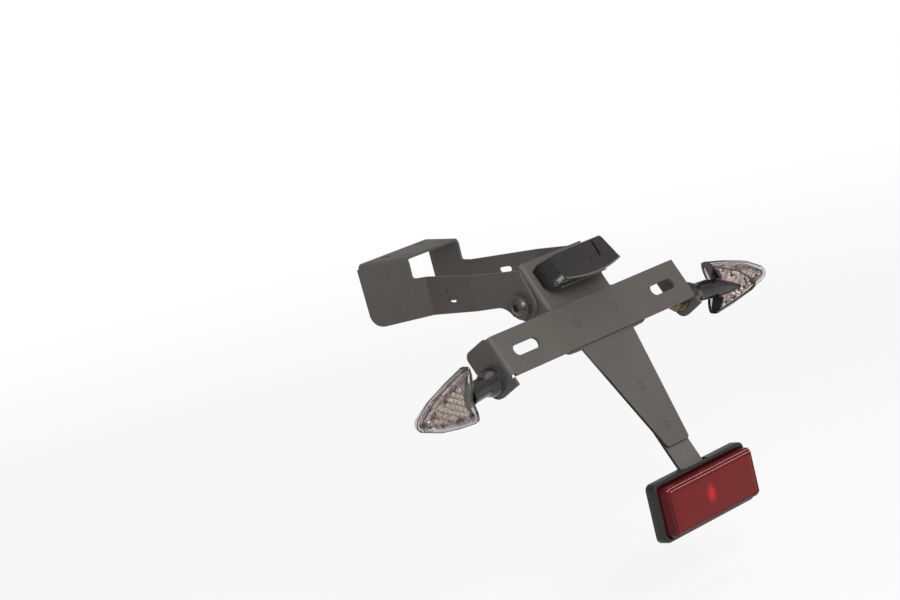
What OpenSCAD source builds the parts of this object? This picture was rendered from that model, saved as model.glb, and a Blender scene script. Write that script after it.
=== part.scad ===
// Tail tidy: a folded sheet licence-plate carrier for the tail of a motorcycle.
// X is to the right, Y is forward, Z is up from the bracket's top plate.
// The origin is the middle of the four mounting holes, on the top plate's upper face.
// The plate carrier hangs from two side pivot bolts, and leans back to hold the plate.

/* [Sheet metal] */
// Thickness of every folded sheet
sheet = 2; // [1.5:0.5:3]
// Radius inside a fold
fold_r = 1.5; // [1:0.5:2.5]

/* [Tail bracket] */
// Distance between the outer faces of the two pivot ears
ear_span = 73.2; // [70:0.2:80]
// Height of the top plate above the pivot bolts
top_above_pivot = 40; // [36:1:50]
// Distance of the mounting pattern ahead of the pivot bolts
mount_ahead = 123; // [120:1:126]
// Height of the arms' upper edge above the pivot bolts
arm_top = 24; // [20:1:26]
// Where the arms bend inward, ahead of the pivot bolts
rear_bend = 40.7; // [36:0.1:46]
// Where the wings bend outward, ahead of the pivot bolts
front_bend = 93; // [89:0.1:94]
// Front end of the wings, ahead of the pivot bolts
wing_end = 143.8; // [141:0.1:146]
// Where the wings rise to the top plate, ahead of the pivot bolts
tall_from = 104; // [98:1:106]
// Angle of the inward jog of the arms
jog_angle = 13; // [8:1:14]
// Angle by which the wings flare outward
wing_angle = 15; // [10:1:18]
// Sideways spacing of the mounting holes
mount_dx = 36; // [30:1:40]
// Lengthwise spacing of the mounting holes
mount_dy = 20; // [16:1:24]
// Diameter of the mounting holes
mount_hole_d = 6.6; // [5.5:0.1:6.6]
// Length of a cable-tie slot
tie_slot_l = 10; // [8:1:12]
// Width of a cable-tie slot
tie_slot_w = 4; // [3:0.5:5]

/* [Plate carrier] */
// Lean of the number plate from the upright
plate_tilt = 28; // [20:1:35]
// Width between the outer faces of the carrier's cheeks
cheek_span = 67.2; // [66.8:0.1:67.2]
// Height of the pivot bolts above the crossbar's top edge, along the plate
pivot_up = 15.6; // [14:0.1:18]
// Depth of the pivot bolts behind the crossbar's face
pivot_deep = 18.4; // [17:0.1:20]
// Height of the carrier above the crossbar's top edge
carrier_up = 38; // [36:1:42]
// Half width of the arm at the crossbar's lower edge
arm_top_half = 27.2; // [25:0.1:29]
// Half width of the arm at its lower end
arm_end_half = 12.1; // [11:0.1:16]
// Lower end of the arm, below the crossbar's top edge
arm_end = 117; // [112:1:122]
// Diameter of the pivot bolts' shank
pivot_d = 8; // [6:1:8]

/* [Crossbar] */
// Width over the folds of the two ears, at the face
bar_w = 200; // [190:1:210]
// Height of the crossbar's face
bar_h = 30.8; // [28:0.1:34]
// Depth of the ears
ear_deep = 25; // [23:1:28]
// How far the ears reach below the crossbar's face
ear_drop = 6.2; // [5:0.1:8]
// Outward lean of the ears
splay = 5; // [0:1:6]
// Spacing of the two number plate slots
slot_dx = 147.6; // [140:0.1:150]
// Overall length of a number plate slot
slot_l = 25; // [18:1:26]
// Width of a number plate slot
slot_w = 8; // [6:0.5:9]

/* [Reflector] */
// Width of the red lens
lens_w = 95; // [88:1:98]
// Height of the red lens
lens_h = 33; // [30:1:36]
// Depth of the red lens
lens_deep = 9.2; // [8:0.1:10]
// Depth of the black base
base_deep = 8.5; // [8:0.1:10]
// Half width of the strip that carries the reflector
strip_half = 12.1; // [11:0.1:14]

/* [Indicators] */
// Reach of an indicator from its ear to its tip
tip_reach = 88.7; // [84:0.1:94]
// Where the arrowhead starts, from the ear
barb_at = 25.9; // [24:0.1:28]
// Half height of the arrowhead at its barbs
barb_half = 18.8; // [17:0.1:20]
// Half thickness of the arrowhead
arrow_half_t = 7.5; // [7:0.1:8.5]
// Rearward sweep of an indicator
sweep = 5.2; // [0:0.1:6]
// Droop of an indicator
droop = 3.2; // [0:0.1:5]
// Forward lean of the arrowheads' lower edge
lean = 5; // [0:1:8]

/* [Number plate lamp] */
// Width of the lamp's hood
hood_w = 56; // [54:1:58]
// Height of the hood's upper edge above the carrier's face
lamp_high = 22; // [20:1:24]
// Slope of the hood towards its lip
hood_tilt = 8; // [4:1:10]

/* [Hidden] */

$fn = 48;

// The finishes, as they look
black_coat = [0.20, 0.19, 0.18];
black_plastic = [0.07, 0.07, 0.07];
black_rubber = [0.09, 0.09, 0.09];
steel = [0.62, 0.62, 0.64];
yellow_zinc = [0.72, 0.62, 0.36];
clear = [0.85, 0.88, 0.90, 0.45];
red = [0.60, 0.05, 0.05, 0.85];
chrome = [0.85, 0.85, 0.86];
board_green = [0.10, 0.30, 0.18];

fold_out = fold_r + sheet;
big = 400;
// Flat runs reach this far into the bends they meet
lap = 0.02;

// A running gap between the bracket and the carrier that tilts in it
run_gap = 0.1;
shank_gap = 0.05;
cheek_out = cheek_span / 2;
cheek_in = cheek_out - sheet;
ear_out = ear_span / 2;
ear_in = ear_out - sheet;

// Points along an arc, for outlines
function arc(c, r, from, to, n = 10) =
    [for (i = [0:n]) c + r * [cos(from + (to - from) * i / n), sin(from + (to - from) * i / n)]];

// A slot with round ends, its length along x
module slot2d(l, w) {
    square([l - w, w], center = true);
    for (s = [-1, 1]) translate([s * (l - w) / 2, 0]) circle(d = w);
}

// A hexagon by its width across the flats
module hex2d(flats) {
    circle(d = flats / cos(30), $fn = 6);
}

// A rectangle with round corners
module round_rect2d(w, h, r) {
    square([w - 2 * r, h], center = true);
    square([w, h - 2 * r], center = true);
    for (x = [-1, 1], y = [-1, 1]) translate([x * (w / 2 - r), y * (h / 2 - r)]) circle(r = r);
}

// A profile drawn in (forward, up), carried right across the width
module across(w = big) {
    rotate([90, 0, 90]) linear_extrude(w, center = true) children();
}

// Something that lies along X, for each side: s is -1 on the left and 1 on the right
module along_x(s) {
    rotate([0, s * 90, 0]) children();
}

// The frame of the pivot bolts: X, ahead, up
module pivot_frame() {
    translate([0, -mount_ahead, -top_above_pivot]) children();
}

// The frame of the crossbar's face: x across, y up along the plate, z out of its face.
// Its origin is the middle of the crossbar's top edge.
module plate_frame() {
    pivot_frame() rotate([90 - plate_tilt, 0, 0]) translate([0, -pivot_up, pivot_deep]) children();
}

// The tail bracket

// Outline of the arms and wings seen from the side, about the pivot
ear_c = [-1.5, 1];
ear_r = 11;
ear_top_back = -4.5;
ear_arc_from = 167;
ear_arc_to = 320;
sweep_c = [21, -14];
sweep_r = 14;
arm_low = -0.8;
bend_low = -3.2;
wing_low = -6.1;
wing_corner_r = 9.5;
wing_relief = 2;
wing_low_at = wing_end - 12;

module bracket_side2d() {
    polygon(concat(
        [[ear_top_back, arm_top]],
        arc(ear_c, ear_r, ear_arc_from, ear_arc_to, 22),
        arc(sweep_c, sweep_r, 150, 90, 10),
        [[rear_bend, arm_low], [front_bend, bend_low], [wing_low_at, wing_low]],
        arc([wing_end - 11, wing_low + wing_corner_r], wing_corner_r, 270, 357, 10),
        [[wing_end, top_above_pivot], [tall_from, top_above_pivot]],
        arc([tall_from - wing_relief, arm_top + wing_relief], wing_relief, 0, -90, 6)
    ));
}

// One straight run of sheet, and what follows at its end
module run(l, h) {
    translate([0, -lap, 0]) cube([sheet, l + 2 * lap, h + lap]);
    translate([0, l, 0]) children();
}

// A bend towards +x, the inside of the bracket
module bend_in(a, h) {
    translate([fold_out, 0, 0]) rotate(180 - a)
        rotate_extrude(angle = a) translate([fold_r, 0]) square([sheet, h]);
    translate([fold_out, 0, 0]) rotate(-a) translate([-fold_out, 0, 0]) children();
}

// A bend towards -x, the outside of the bracket
module bend_outward(a, h) {
    translate([-fold_r, 0, 0])
        rotate_extrude(angle = a) translate([fold_r, 0]) square([sheet, h]);
    translate([-fold_r, 0, 0]) rotate(a) translate([fold_r, 0, 0]) children();
}

wall_low = -12;
wall_h = top_above_pivot - fold_out - wall_low;
arm_back = -14;
bend_reach = fold_out * tan(jog_angle / 2);
flare_reach = fold_r * tan((jog_angle + wing_angle) / 2);
jog_run = (front_bend - rear_bend) / cos(jog_angle) - bend_reach - flare_reach;
wing_run = 60;
plate_back = tall_from + 0.5;
plate_front = wing_end - 1.5;

// One arm with its wing and the fold into the top plate, on the left side
module bracket_wall() {
    translate([-ear_out, arm_back, wall_low])
        run(rear_bend - bend_reach - arm_back, wall_h)
        bend_in(jog_angle, wall_h)
        run(jog_run, wall_h)
        bend_outward(jog_angle + wing_angle, wall_h) {
            run(wing_run, wall_h);
            top_fold();
        }
}

// The round fold between a wing and the top plate
module top_fold() {
    translate([fold_out, wing_run, wall_h]) rotate([90, 0, 0]) linear_extrude(wing_run)
        intersection() {
            difference() {
                circle(r = fold_out);
                circle(r = fold_r);
            }
            translate([-big, 0]) square(big);
        }
}

// Where the top plate's flat part meets the fold, half its width at a given place
wing_foot = ear_out - (front_bend - rear_bend) * tan(jog_angle);
function flat_half(ahead) =
    wing_foot + (ahead - front_bend) * tan(wing_angle) - fold_out / cos(wing_angle) + 0.15;

module top_plate() {
    translate([0, 0, top_above_pivot - sheet]) linear_extrude(sheet) polygon([
        [-flat_half(front_bend), front_bend],
        [flat_half(front_bend), front_bend],
        [flat_half(wing_end), wing_end],
        [-flat_half(wing_end), wing_end]
    ]);
}

// Everything above the wings' straight part stays within the top plate's length
module top_zone() {
    translate([-big / 2, -big / 2, wall_low]) cube([big, big, wall_h]);
    translate([-big / 2, plate_back, 0]) cube([big, plate_front - plate_back, big]);
}

module mount_places() {
    for (x = [-1, 1], y = [-1, 1])
        translate([x * mount_dx / 2, mount_ahead + y * mount_dy / 2, 0]) children();
}

tie_slot_at = 67.5;
tie_slot_up = [7.3, 13.3];

module tie_slots() {
    slot_x = ear_out - (tie_slot_at - rear_bend) * tan(jog_angle);
    for (s = [-1, 1], up = tie_slot_up)
        translate([s * slot_x, tie_slot_at, up]) rotate([0, 0, s * jog_angle]) across(4 * sheet)
            slot2d(tie_slot_l, tie_slot_w);
}

module tail_bracket() {
    color(black_coat) pivot_frame() difference() {
        intersection() {
            union() {
                bracket_wall();
                mirror([1, 0, 0]) bracket_wall();
                top_plate();
            }
            across() bracket_side2d();
            top_zone();
        }
        across() circle(d = pivot_d + 2 * shank_gap);
        translate([0, 0, top_above_pivot - 2 * sheet]) mount_places()
            cylinder(d = mount_hole_d, h = 4 * sheet);
        tie_slots();
    }
}

// The pivot hardware: bolt head and washer outside each ear, a friction washer between
// the ear and the cheek, and a lock nut inside the cheek

washer_od = 18.6;
washer_t = 1.5;
friction_od = 20;
head_d = 13.4;
head_h = 4.6;
head_flange_d = 16.4;
head_flange_t = 1;
socket_flats = 5;
socket_deep = 2.6;
nut_flats = 13;
nut_h = 8;
bolt_end = 2;
nut_face = cheek_in - run_gap;

// Domed head with a hexagon socket, standing on z = 0 and pointing up
module button_head(d, h, flats, deep) {
    dome_r = (d * d / 4 + h * h) / (2 * h);
    difference() {
        intersection() {
            translate([0, 0, h - dome_r]) sphere(r = dome_r, $fn = 64);
            cylinder(d = d, h = h);
        }
        translate([0, 0, h - deep]) linear_extrude(deep + 1) hex2d(flats);
    }
}

module pivot_bolts() {
    seat = ear_out + washer_t;
    end = nut_face - nut_h - bolt_end;
    color(steel) pivot_frame() for (s = [-1, 1]) {
        translate([s * seat, 0, 0]) along_x(s) {
            cylinder(d = head_flange_d, h = head_flange_t);
            translate([0, 0, head_flange_t / 2])
                button_head(head_d, head_h, socket_flats, socket_deep);
        }
        translate([s * end, 0, 0]) along_x(s) cylinder(d = pivot_d, h = seat - end);
    }
}

module ring(od, id, h) {
    difference() {
        cylinder(d = od, h = h);
        translate([0, 0, -1]) cylinder(d = id, h = h + 2);
    }
}

module pivot_washers() {
    color(black_coat) pivot_frame() for (s = [-1, 1])
        translate([s * ear_out, 0, 0]) along_x(s) ring(washer_od, pivot_d, washer_t);
}

module friction_washers() {
    face = cheek_out + run_gap;
    color(black_plastic) pivot_frame() for (s = [-1, 1])
        translate([s * face, 0, 0]) along_x(s)
            ring(friction_od, pivot_d + 2 * shank_gap, ear_in - face);
}

// A lock nut on z = 0: a hexagon with a round collar above it
module lock_nut(flats, h, bore) {
    difference() {
        union() {
            linear_extrude(h * 0.75) hex2d(flats);
            cylinder(d = flats * 0.93, h = h);
        }
        translate([0, 0, -1]) cylinder(d = bore, h = h + 2);
    }
}

module pivot_nuts() {
    color(steel) pivot_frame() for (s = [-1, 1])
        translate([s * nut_face, 0, 0]) along_x(-s) lock_nut(nut_flats, nut_h, pivot_d);
}

// The plate carrier: centre plate, two cheeks folded forward, and a tapering arm

plate_z = -sheet;
stud_x = 20.7;
stud_down = 14.7;
strip_stud_down = [71.6, 103];
stud_d = 5;
stud_hole_d = 5.4;
cheek_end = 1;

module fold_profile2d(half, deep) {
    // Flat part, a quarter bend at each end, and a leg down each side
    translate([-half + fold_out - lap, -sheet]) square([2 * (half - fold_out + lap), sheet]);
    for (s = [-1, 1]) {
        translate([s * (half - fold_out), -fold_out]) intersection() {
            difference() {
                circle(r = fold_out);
                circle(r = fold_r);
            }
            translate([s > 0 ? 0 : -big, 0]) square(big);
        }
        translate([s > 0 ? half - sheet : -half, -deep]) square([sheet, deep - fold_out + lap]);
    }
}

// A profile drawn in (x, z) and carried up the plate from y0 to y1
module up_plate(y0, y1) {
    translate([0, y1, 0]) rotate([90, 0, 0]) linear_extrude(y1 - y0) children();
}

cheek_r = 11.5;

// Side view of the cheeks, about the crossbar's top edge: y up the plate, z out of it
module cheek_side2d() {
    hull() {
        translate([pivot_up, -pivot_deep]) circle(r = cheek_r);
        translate([cheek_end, plate_z - sheet]) square([carrier_up - cheek_end, sheet]);
    }
}

module carrier_channel() {
    intersection() {
        translate([0, 0, plate_z]) up_plate(cheek_end, carrier_up) fold_profile2d(cheek_out, 40);
        rotate([0, 90, 0]) rotate([0, 0, 90]) linear_extrude(big, center = true) cheek_side2d();
    }
}

arm_slope = (arm_top_half - arm_end_half) / (arm_end - bar_h);
arm_start_half = arm_top_half + (bar_h + cheek_end) * arm_slope;
arm_chamfer = 1.5;
shoulder_half = 42;
shoulder_top = -8;
shoulder_peek = 1.2;

module carrier_arm2d() {
    polygon([
        [-arm_start_half, cheek_end],
        [arm_start_half, cheek_end],
        [shoulder_half, shoulder_top],
        [shoulder_half, -bar_h],
        [shoulder_half - 3, -bar_h - shoulder_peek],
        [arm_top_half, -bar_h - shoulder_peek - 0.4],
        [arm_end_half, -arm_end + arm_chamfer],
        [arm_end_half - arm_chamfer, -arm_end],
        [-arm_end_half + arm_chamfer, -arm_end],
        [-arm_end_half, -arm_end + arm_chamfer],
        [-arm_top_half, -bar_h - shoulder_peek - 0.4],
        [-shoulder_half + 3, -bar_h - shoulder_peek],
        [-shoulder_half, -bar_h],
        [-shoulder_half, shoulder_top]
    ]);
}

lamp_screw_x = 16;
lamp_screw_up = 24;
lamp_screw_d = 4;

module plate_support() {
    color(black_coat) plate_frame() difference() {
        union() {
            carrier_channel();
            translate([0, 0, plate_z - sheet]) linear_extrude(sheet) carrier_arm2d();
        }
        translate([0, pivot_up, -pivot_deep]) rotate([0, 90, 0])
            cylinder(d = pivot_d + 2 * shank_gap, h = big, center = true);
        for (s = [-1, 1]) {
            translate([s * stud_x, -stud_down, plate_z - 2 * sheet])
                cylinder(d = stud_hole_d, h = 4 * sheet);
            translate([s * lamp_screw_x, lamp_screw_up, plate_z - 2 * sheet])
                cylinder(d = lamp_screw_d + 0.4, h = 4 * sheet);
        }
        for (d = strip_stud_down) translate([0, -d, plate_z - 2 * sheet])
            cylinder(d = stud_d, h = 4 * sheet);
    }
}

// The crossbar: a flat face with a slot near each end, and an ear folded forward there

ear_hole_down = 24.4;
ear_hole_deep = 14.4;
ear_hole_d = 8.4;
relief = 1.8;
ear_rise = 1.3;
ear_corner_r = 5;
ear_foot_r = 8;
ear_front_gap = 1;

// Each ear is folded a little less than square, so that it leans outward
ear_fold = 90 - splay;
ear_from = bar_w / 2 - fold_out * tan(ear_fold / 2);
// A depth behind the face, as a distance along the ear from the end of its fold
function along_ear(deep) = (deep - fold_out + fold_out * cos(ear_fold)) / sin(ear_fold);
ear_x = ear_from + fold_out * sin(ear_fold) + along_ear(ear_hole_deep) * cos(ear_fold);

// An ear laid flat: y along it from its fold, x down the plate
module bar_ear2d() {
    end = along_ear(ear_deep);
    low = bar_h + ear_drop;
    front = ear_front_gap - fold_out;
    polygon(concat(
        [[0, 0], [0.8, 0], [2.4, -ear_rise]],
        arc([end - ear_corner_r, ear_corner_r - ear_rise], ear_corner_r, -90, 0, 8),
        arc([end - ear_foot_r, low - ear_foot_r], ear_foot_r, 0, 90, 8),
        [[front, low], [front, bar_h + 0.4], [0, bar_h + 0.4]]
    ));
}

module bar_ear() {
    difference() {
        rotate([90, 0, 90]) linear_extrude(sheet) bar_ear2d();
        translate([-1, along_ear(ear_hole_deep), ear_hole_down]) rotate([0, 90, 0])
            cylinder(d = ear_hole_d, h = sheet + 2);
    }
}

module bar_end() {
    translate([ear_from, 0, 0]) rotate([90, 0, 0]) rotate(-90)
        translate([fold_out, 0, 0]) rotate(-ear_fold) translate([-fold_out, 0, 0]) bar_ear();
}

// Half of the crossbar's section: flat, fold and the start of the ear
module bar_half_section2d() {
    translate([-1, -sheet]) square([ear_from + 1 + lap, sheet]);
    translate([ear_from, -fold_out]) {
        intersection() {
            difference() {
                circle(r = fold_out);
                circle(r = fold_r);
            }
            polygon([[0, 0], [0, big], [big, big], [big * cos(splay), big * sin(splay)]]);
        }
        rotate(-ear_fold) translate([-lap, fold_out - sheet]) square([1 + lap, sheet]);
    }
}

module bar_section2d() {
    bar_half_section2d();
    mirror([1, 0]) bar_half_section2d();
}

module crossbar() {
    color(black_coat) plate_frame() difference() {
        union() {
            intersection() {
                up_plate(-bar_h, 0) bar_section2d();
                // The fold stops at a relief notch short of the lower edge
                union() {
                    translate([-ear_from, -bar_h, -5]) cube([2 * ear_from, bar_h, 10]);
                    translate([-bar_w, -bar_h + relief, -10]) cube([2 * bar_w, bar_h, 20]);
                }
            }
            bar_end();
            mirror([1, 0, 0]) bar_end();
        }
        for (s = [-1, 1]) {
            translate([s * slot_dx / 2, -bar_h / 2, -2 * sheet]) linear_extrude(4 * sheet)
                slot2d(slot_l, slot_w);
            translate([s * stud_x, -stud_down, -2 * sheet]) cylinder(d = stud_d, h = 4 * sheet);
        }
    }
}

// Flush press-in studs and their nuts. Each stud points away from the plate's face.

m5_flats = 8;
m5_h = 4;
stud_sunk = 0.12;

module flush_stud(l) {
    translate([0, 0, -l]) cylinder(d = stud_d, h = l - stud_sunk);
}

module m5_nut() {
    translate([0, 0, -m5_h]) difference() {
        union() {
            linear_extrude(m5_h) hex2d(m5_flats);
            translate([0, 0, m5_h - 1]) cylinder(d = 10, h = 1);
        }
        translate([0, 0, -1]) cylinder(d = stud_d, h = m5_h + 2);
    }
}

module crossbar_studs() {
    color(black_coat) plate_frame() for (s = [-1, 1])
        translate([s * stud_x, -stud_down, 0]) flush_stud(2 * sheet + m5_h + 1.5);
}

module crossbar_nuts() {
    color(steel) plate_frame() for (s = [-1, 1])
        translate([s * stud_x, -stud_down, plate_z - sheet]) m5_nut();
}

module strip_studs() {
    color(black_coat) plate_frame() for (d = strip_stud_down)
        translate([0, -d, plate_z]) flush_stud(2 * sheet + m5_h + 1.5);
}

module strip_nuts() {
    color(steel) plate_frame() for (d = strip_stud_down)
        translate([0, -d, plate_z - 2 * sheet]) m5_nut();
}

// The reflector hangs upright below the arm, on a strip that is bent to meet it.
// Its frame has the front of the lens at the origin: x across, y ahead, z up.

lens_back = 98.6;
lens_down = 145.3;
strip_z = plate_z - sheet;
strip_top = 62;
strip_tail = 22;
strip_face = lens_deep + 1.6;

module reflector_frame() {
    pivot_frame() translate([0, -lens_back, -lens_down]) children();
}

// Where the strip's front face turns upright, measured down the plate
face_back = lens_back - strip_face;
strip_turn = (face_back - (pivot_deep + strip_z) * cos(plate_tilt)) / sin(plate_tilt) - pivot_up;

module strip_part(l) {
    // A flat run whose front face is z = 0 and which runs down from the origin
    translate([-strip_half, -l - lap, -sheet]) cube([2 * strip_half, l + 2 * lap, sheet]);
}

bend_take = (fold_r + sheet) * tan(plate_tilt / 2);

module reflector_strip() {
    flat_end = strip_turn - bend_take;
    color(black_coat) difference() {
        plate_frame() translate([0, 0, strip_z]) {
            translate([0, -strip_top, 0]) strip_part(flat_end - strip_top);
            translate([0, -flat_end, 0]) {
                strip_bend();
                translate([0, 0, -fold_out]) rotate([plate_tilt, 0, 0])
                    translate([0, 0, fold_out]) strip_part(strip_tail);
            }
        }
        plate_frame() for (d = strip_stud_down) translate([0, -d, strip_z - 2 * sheet])
            cylinder(d = stud_hole_d, h = 4 * sheet);
        reflector_frame() rotate([-90, 0, 0]) cylinder(d = stud_hole_d, h = 40);
    }
}

// The bend that turns the strip forward, about an axis behind it
module strip_bend() {
    translate([0, 0, -fold_out]) rotate([0, 90, 0]) rotate(180)
        rotate_extrude(angle = plate_tilt) translate([fold_r, -strip_half])
        square([sheet, 2 * strip_half]);
}

lens_bevel = 1.6;
lens_wall = 2.2;
lens_corner = 4;

module reflector_lens() {
    color(red) reflector_frame() rotate([-90, 0, 0]) difference() {
        hull() {
            linear_extrude(0.1)
                round_rect2d(lens_w - 2 * lens_bevel, lens_h - 2 * lens_bevel, lens_corner - 1);
            translate([0, 0, lens_bevel]) linear_extrude(lens_deep - lens_bevel)
                round_rect2d(lens_w, lens_h, lens_corner);
        }
        translate([0, 0, lens_wall]) linear_extrude(lens_deep)
            round_rect2d(lens_w - 2 * lens_wall, lens_h - 2 * lens_wall, lens_corner - 1.5);
    }
}

base_lip = 0.4;
base_wall = 2;
base_web = 1.6;
notch_half = strip_half + 1;

module reflector_base() {
    w = lens_w + 2 * base_lip;
    h = lens_h + 2 * base_lip;
    color(black_plastic) reflector_frame() translate([0, lens_deep, 0]) rotate([-90, 0, 0])
        difference() {
            linear_extrude(base_deep) round_rect2d(w, h, lens_corner + base_lip);
            translate([0, 0, base_web]) linear_extrude(base_deep)
                round_rect2d(w - 2 * base_wall, h - 2 * base_wall, lens_corner - base_lip);
            // The strip comes in through a notch in the upper wall
            translate([-notch_half, -h, base_web]) cube([2 * notch_half, h, base_deep]);
            translate([0, 0, -1]) cylinder(d = stud_d, h = base_deep);
        }
}

// A screw through the base with a low head inside the lens
module reflector_stud() {
    head = 1.4;
    color(steel) reflector_frame() rotate([-90, 0, 0]) {
        translate([0, 0, lens_deep - head]) cylinder(d = 10, h = head);
        translate([0, 0, lens_deep - head]) cylinder(d = stud_d, h = 13);
    }
}

module reflector_nut() {
    color(steel) reflector_frame() translate([0, strip_face + sheet, 0]) rotate([90, 0, 0])
        m5_nut();
}

// The number plate lamp stands on the carrier's centre plate, above the crossbar

lamp_up = 30.5;
lamp_half = 26.6;
lamp_wall = 2;
lamp_floor = 8;
window_up = 16;
window_wall = 1.6;
window_corner_r = 5;
hood_t = 2.2;
hood_edge = 0.9;
hood_side_low = 20.2;
hood_lip_low = 23.9;
hood_arc_r = 107;
lamp_low = 9.6;
lamp_top_z = plate_z + lamp_high;

// Height of the hood's underside at a place up the plate
function under_hood(y) = lamp_top_z - hood_t / cos(hood_tilt) + (lamp_up - y) * tan(hood_tilt);

// Side view of the lamp: y up the plate, z out of it
module lamp_side2d() {
    polygon([
        [lamp_up - 0.3, plate_z],
        [window_up + 0.5, plate_z],
        [lamp_low + 1.6, lamp_floor],
        [lamp_low, under_hood(lamp_low)],
        [lamp_up - 1.4, under_hood(lamp_up - 1.4)],
        [lamp_up + 1, 5]
    ]);
}

// A profile drawn in (y up the plate, z out of it), carried across the width
module lamp_across(half) {
    rotate([0, 90, 0]) rotate([0, 0, 90]) linear_extrude(2 * half, center = true) children();
}

// The lamp seen from outside, its lower corners well rounded
module lamp_front2d(inset = 0) {
    half = lamp_half - inset;
    r = window_corner_r - inset;
    low = lamp_low - 0.4 + inset;
    polygon(concat(
        [[half, lamp_up + 3], [-half, lamp_up + 3]],
        arc([-half + r, low + r], r, 180, 270, 8),
        arc([half - r, low + r], r, 270, 360, 8)
    ));
}

module lamp_outside() {
    intersection() {
        lamp_across(lamp_half + 1) lamp_side2d();
        translate([0, 0, plate_z - 1]) linear_extrude(2 * lamp_high) lamp_front2d();
    }
}

// The corner that the clear window takes, below the body and outside its floor
module window_zone() {
    translate([-big / 2, window_up - big, lamp_floor]) cube([big, big, big]);
}

module lamp_body() {
    color(black_plastic) plate_frame() difference() {
        lamp_outside();
        window_zone();
        translate([-lamp_half + lamp_wall, 0, lamp_floor])
            cube([2 * (lamp_half - lamp_wall), lamp_up - 2.5, big]);
        for (s = [-1, 1]) translate([s * lamp_screw_x, lamp_screw_up, plate_z - 1])
            cylinder(d = lamp_screw_d, h = 7.5);
    }
}

// The clear window wraps round the lamp's lower corners, under the hood's lip
module lamp_lens() {
    color(clear) plate_frame() difference() {
        intersection() {
            lamp_outside();
            window_zone();
        }
        translate([0, 0, lamp_floor - 1]) linear_extrude(2 * lamp_high)
            lamp_front2d(window_wall);
    }
}

// The frame of the hood's outer face, sloped; its origin is the middle of the upper edge
module hood_frame() {
    plate_frame() translate([0, lamp_up, lamp_top_z]) rotate([-hood_tilt, 0, 0]) children();
}

// The hood seen from outside, with its lower lip swept in a shallow arc
module hood2d(inset = 0) {
    half = hood_w / 2 - inset;
    intersection() {
        polygon([
            [-half + 1.8, -inset],
            [half - 1.8, -inset],
            [half - 0.7, -1.2 - inset],
            [half + 0.6, -hood_side_low + 0.7],
            [half - 2, -hood_lip_low - 2],
            [-half + 2, -hood_lip_low - 2],
            [-half - 0.6, -hood_side_low + 0.7],
            [-half + 0.7, -1.2 - inset]
        ]);
        translate([0, hood_arc_r - hood_lip_low]) circle(r = hood_arc_r - inset, $fn = 180);
    }
}

hood_slot_at = [13.9, -8.2];
hood_slot_l = 13.3;
hood_slot_w = 2.4;
hood_slot_turn = 77;
hood_recess_at = [-6.2, -13];
hood_recess = [20, 5];
hood_recess_deep = 0.4;

module lamp_hood() {
    color(black_plastic) hood_frame() difference() {
        hull() {
            translate([0, 0, -hood_t]) linear_extrude(hood_t - hood_edge) hood2d();
            translate([0, 0, -hood_t]) linear_extrude(hood_t) hood2d(hood_edge);
        }
        // A shallow plain recess and one narrow slot in the outer face
        translate([hood_recess_at[0], hood_recess_at[1], -hood_recess_deep]) linear_extrude(1)
            round_rect2d(hood_recess[0], hood_recess[1], 1);
        translate([hood_slot_at[0], hood_slot_at[1], -1.4]) linear_extrude(2)
            rotate(hood_slot_turn) slot2d(hood_slot_l, hood_slot_w);
    }
}

module lamp_board() {
    color(board_green) plate_frame() lamp_across(lamp_half - 4)
        translate([20, lamp_floor]) square([1.2, 8]);
    color(chrome) plate_frame() for (x = [-14, 0, 14])
        translate([x, 20, lamp_floor + 4]) rotate([90, 0, 0]) cylinder(d = 3.5, h = 1.4);
}

module lamp_screws() {
    color(steel) plate_frame() for (s = [-1, 1])
        translate([s * lamp_screw_x, lamp_screw_up, plate_z - sheet]) {
            cylinder(d = lamp_screw_d, h = sheet + 6);
            translate([0, 0, -2.4]) cylinder(d = 7.5, h = 2.4);
        }
}

// The indicators. Both are the same part, turned half round to point outward.
// Frame of the ear's outer face: x outward along the stud, z up.
module ear_frame(s) {
    plate_frame() translate([s * ear_x, -ear_hole_down, -ear_hole_deep])
        rotate([0, -s * splay, 0]) upright(s) children();
}

// Turned so that z is up and x points outward
module upright(s) {
    rotate([plate_tilt - 90, 0, 0]) rotate([0, 0, s > 0 ? 0 : 180]) children();
}

// Frame of the indicator's own axis, which sweeps back and droops a little
module arrow_frame(s) {
    plate_frame() translate([s * ear_x, -ear_hole_down, -ear_hole_deep]) upright(s)
        rotate([0, 0, -s * sweep]) rotate([0, droop, 0]) rotate([s * lean, 0, 0]) children();
}

pad_t = 4;
pad_d = 19;
bulb_r = 9.5;
neck_r = 6.9;
neck_at = 16;
spear_l = 35;
spear_round = 1.3;
spear_droop = 8;
spear_open_at = 5.5;
seam_at = 5.4;
seam_deep = 0.4;

// Half outline of the stalk along its axis: a bulb with a seam round it, and the neck
module stalk_half2d() {
    polygon(concat(
        [[0, 0], [bulb_r - 0.6, 0], [bulb_r, 3], [bulb_r, seam_at]],
        [[bulb_r - seam_deep, seam_at], [bulb_r - seam_deep, seam_at + 0.5]],
        [for (i = [0:8]) [neck_r + (bulb_r - neck_r) * (1 + cos(i * 22.5)) / 2,
            seam_at + 0.7 + (neck_at - seam_at - 0.7) * i / 8]],
        [[neck_r, barb_at + 1], [0, barb_at + 1]]
    ));
}

// Half outline of the spear that carries on from the neck into the arrowhead
module spear_half2d() {
    polygon(concat(
        [[0, -6]],
        [for (i = [0:12]) [spear_round + (neck_r - spear_round) * cos(i * 90 / 12),
            spear_l * i / 12]],
        [[0, spear_l + spear_round]]
    ));
}

module stalk_solid() {
    rotate([0, 90, 0]) rotate_extrude() stalk_half2d();
    translate([barb_at, 0, 0]) rotate([0, 90 + spear_droop, 0]) rotate_extrude() spear_half2d();
}

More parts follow.
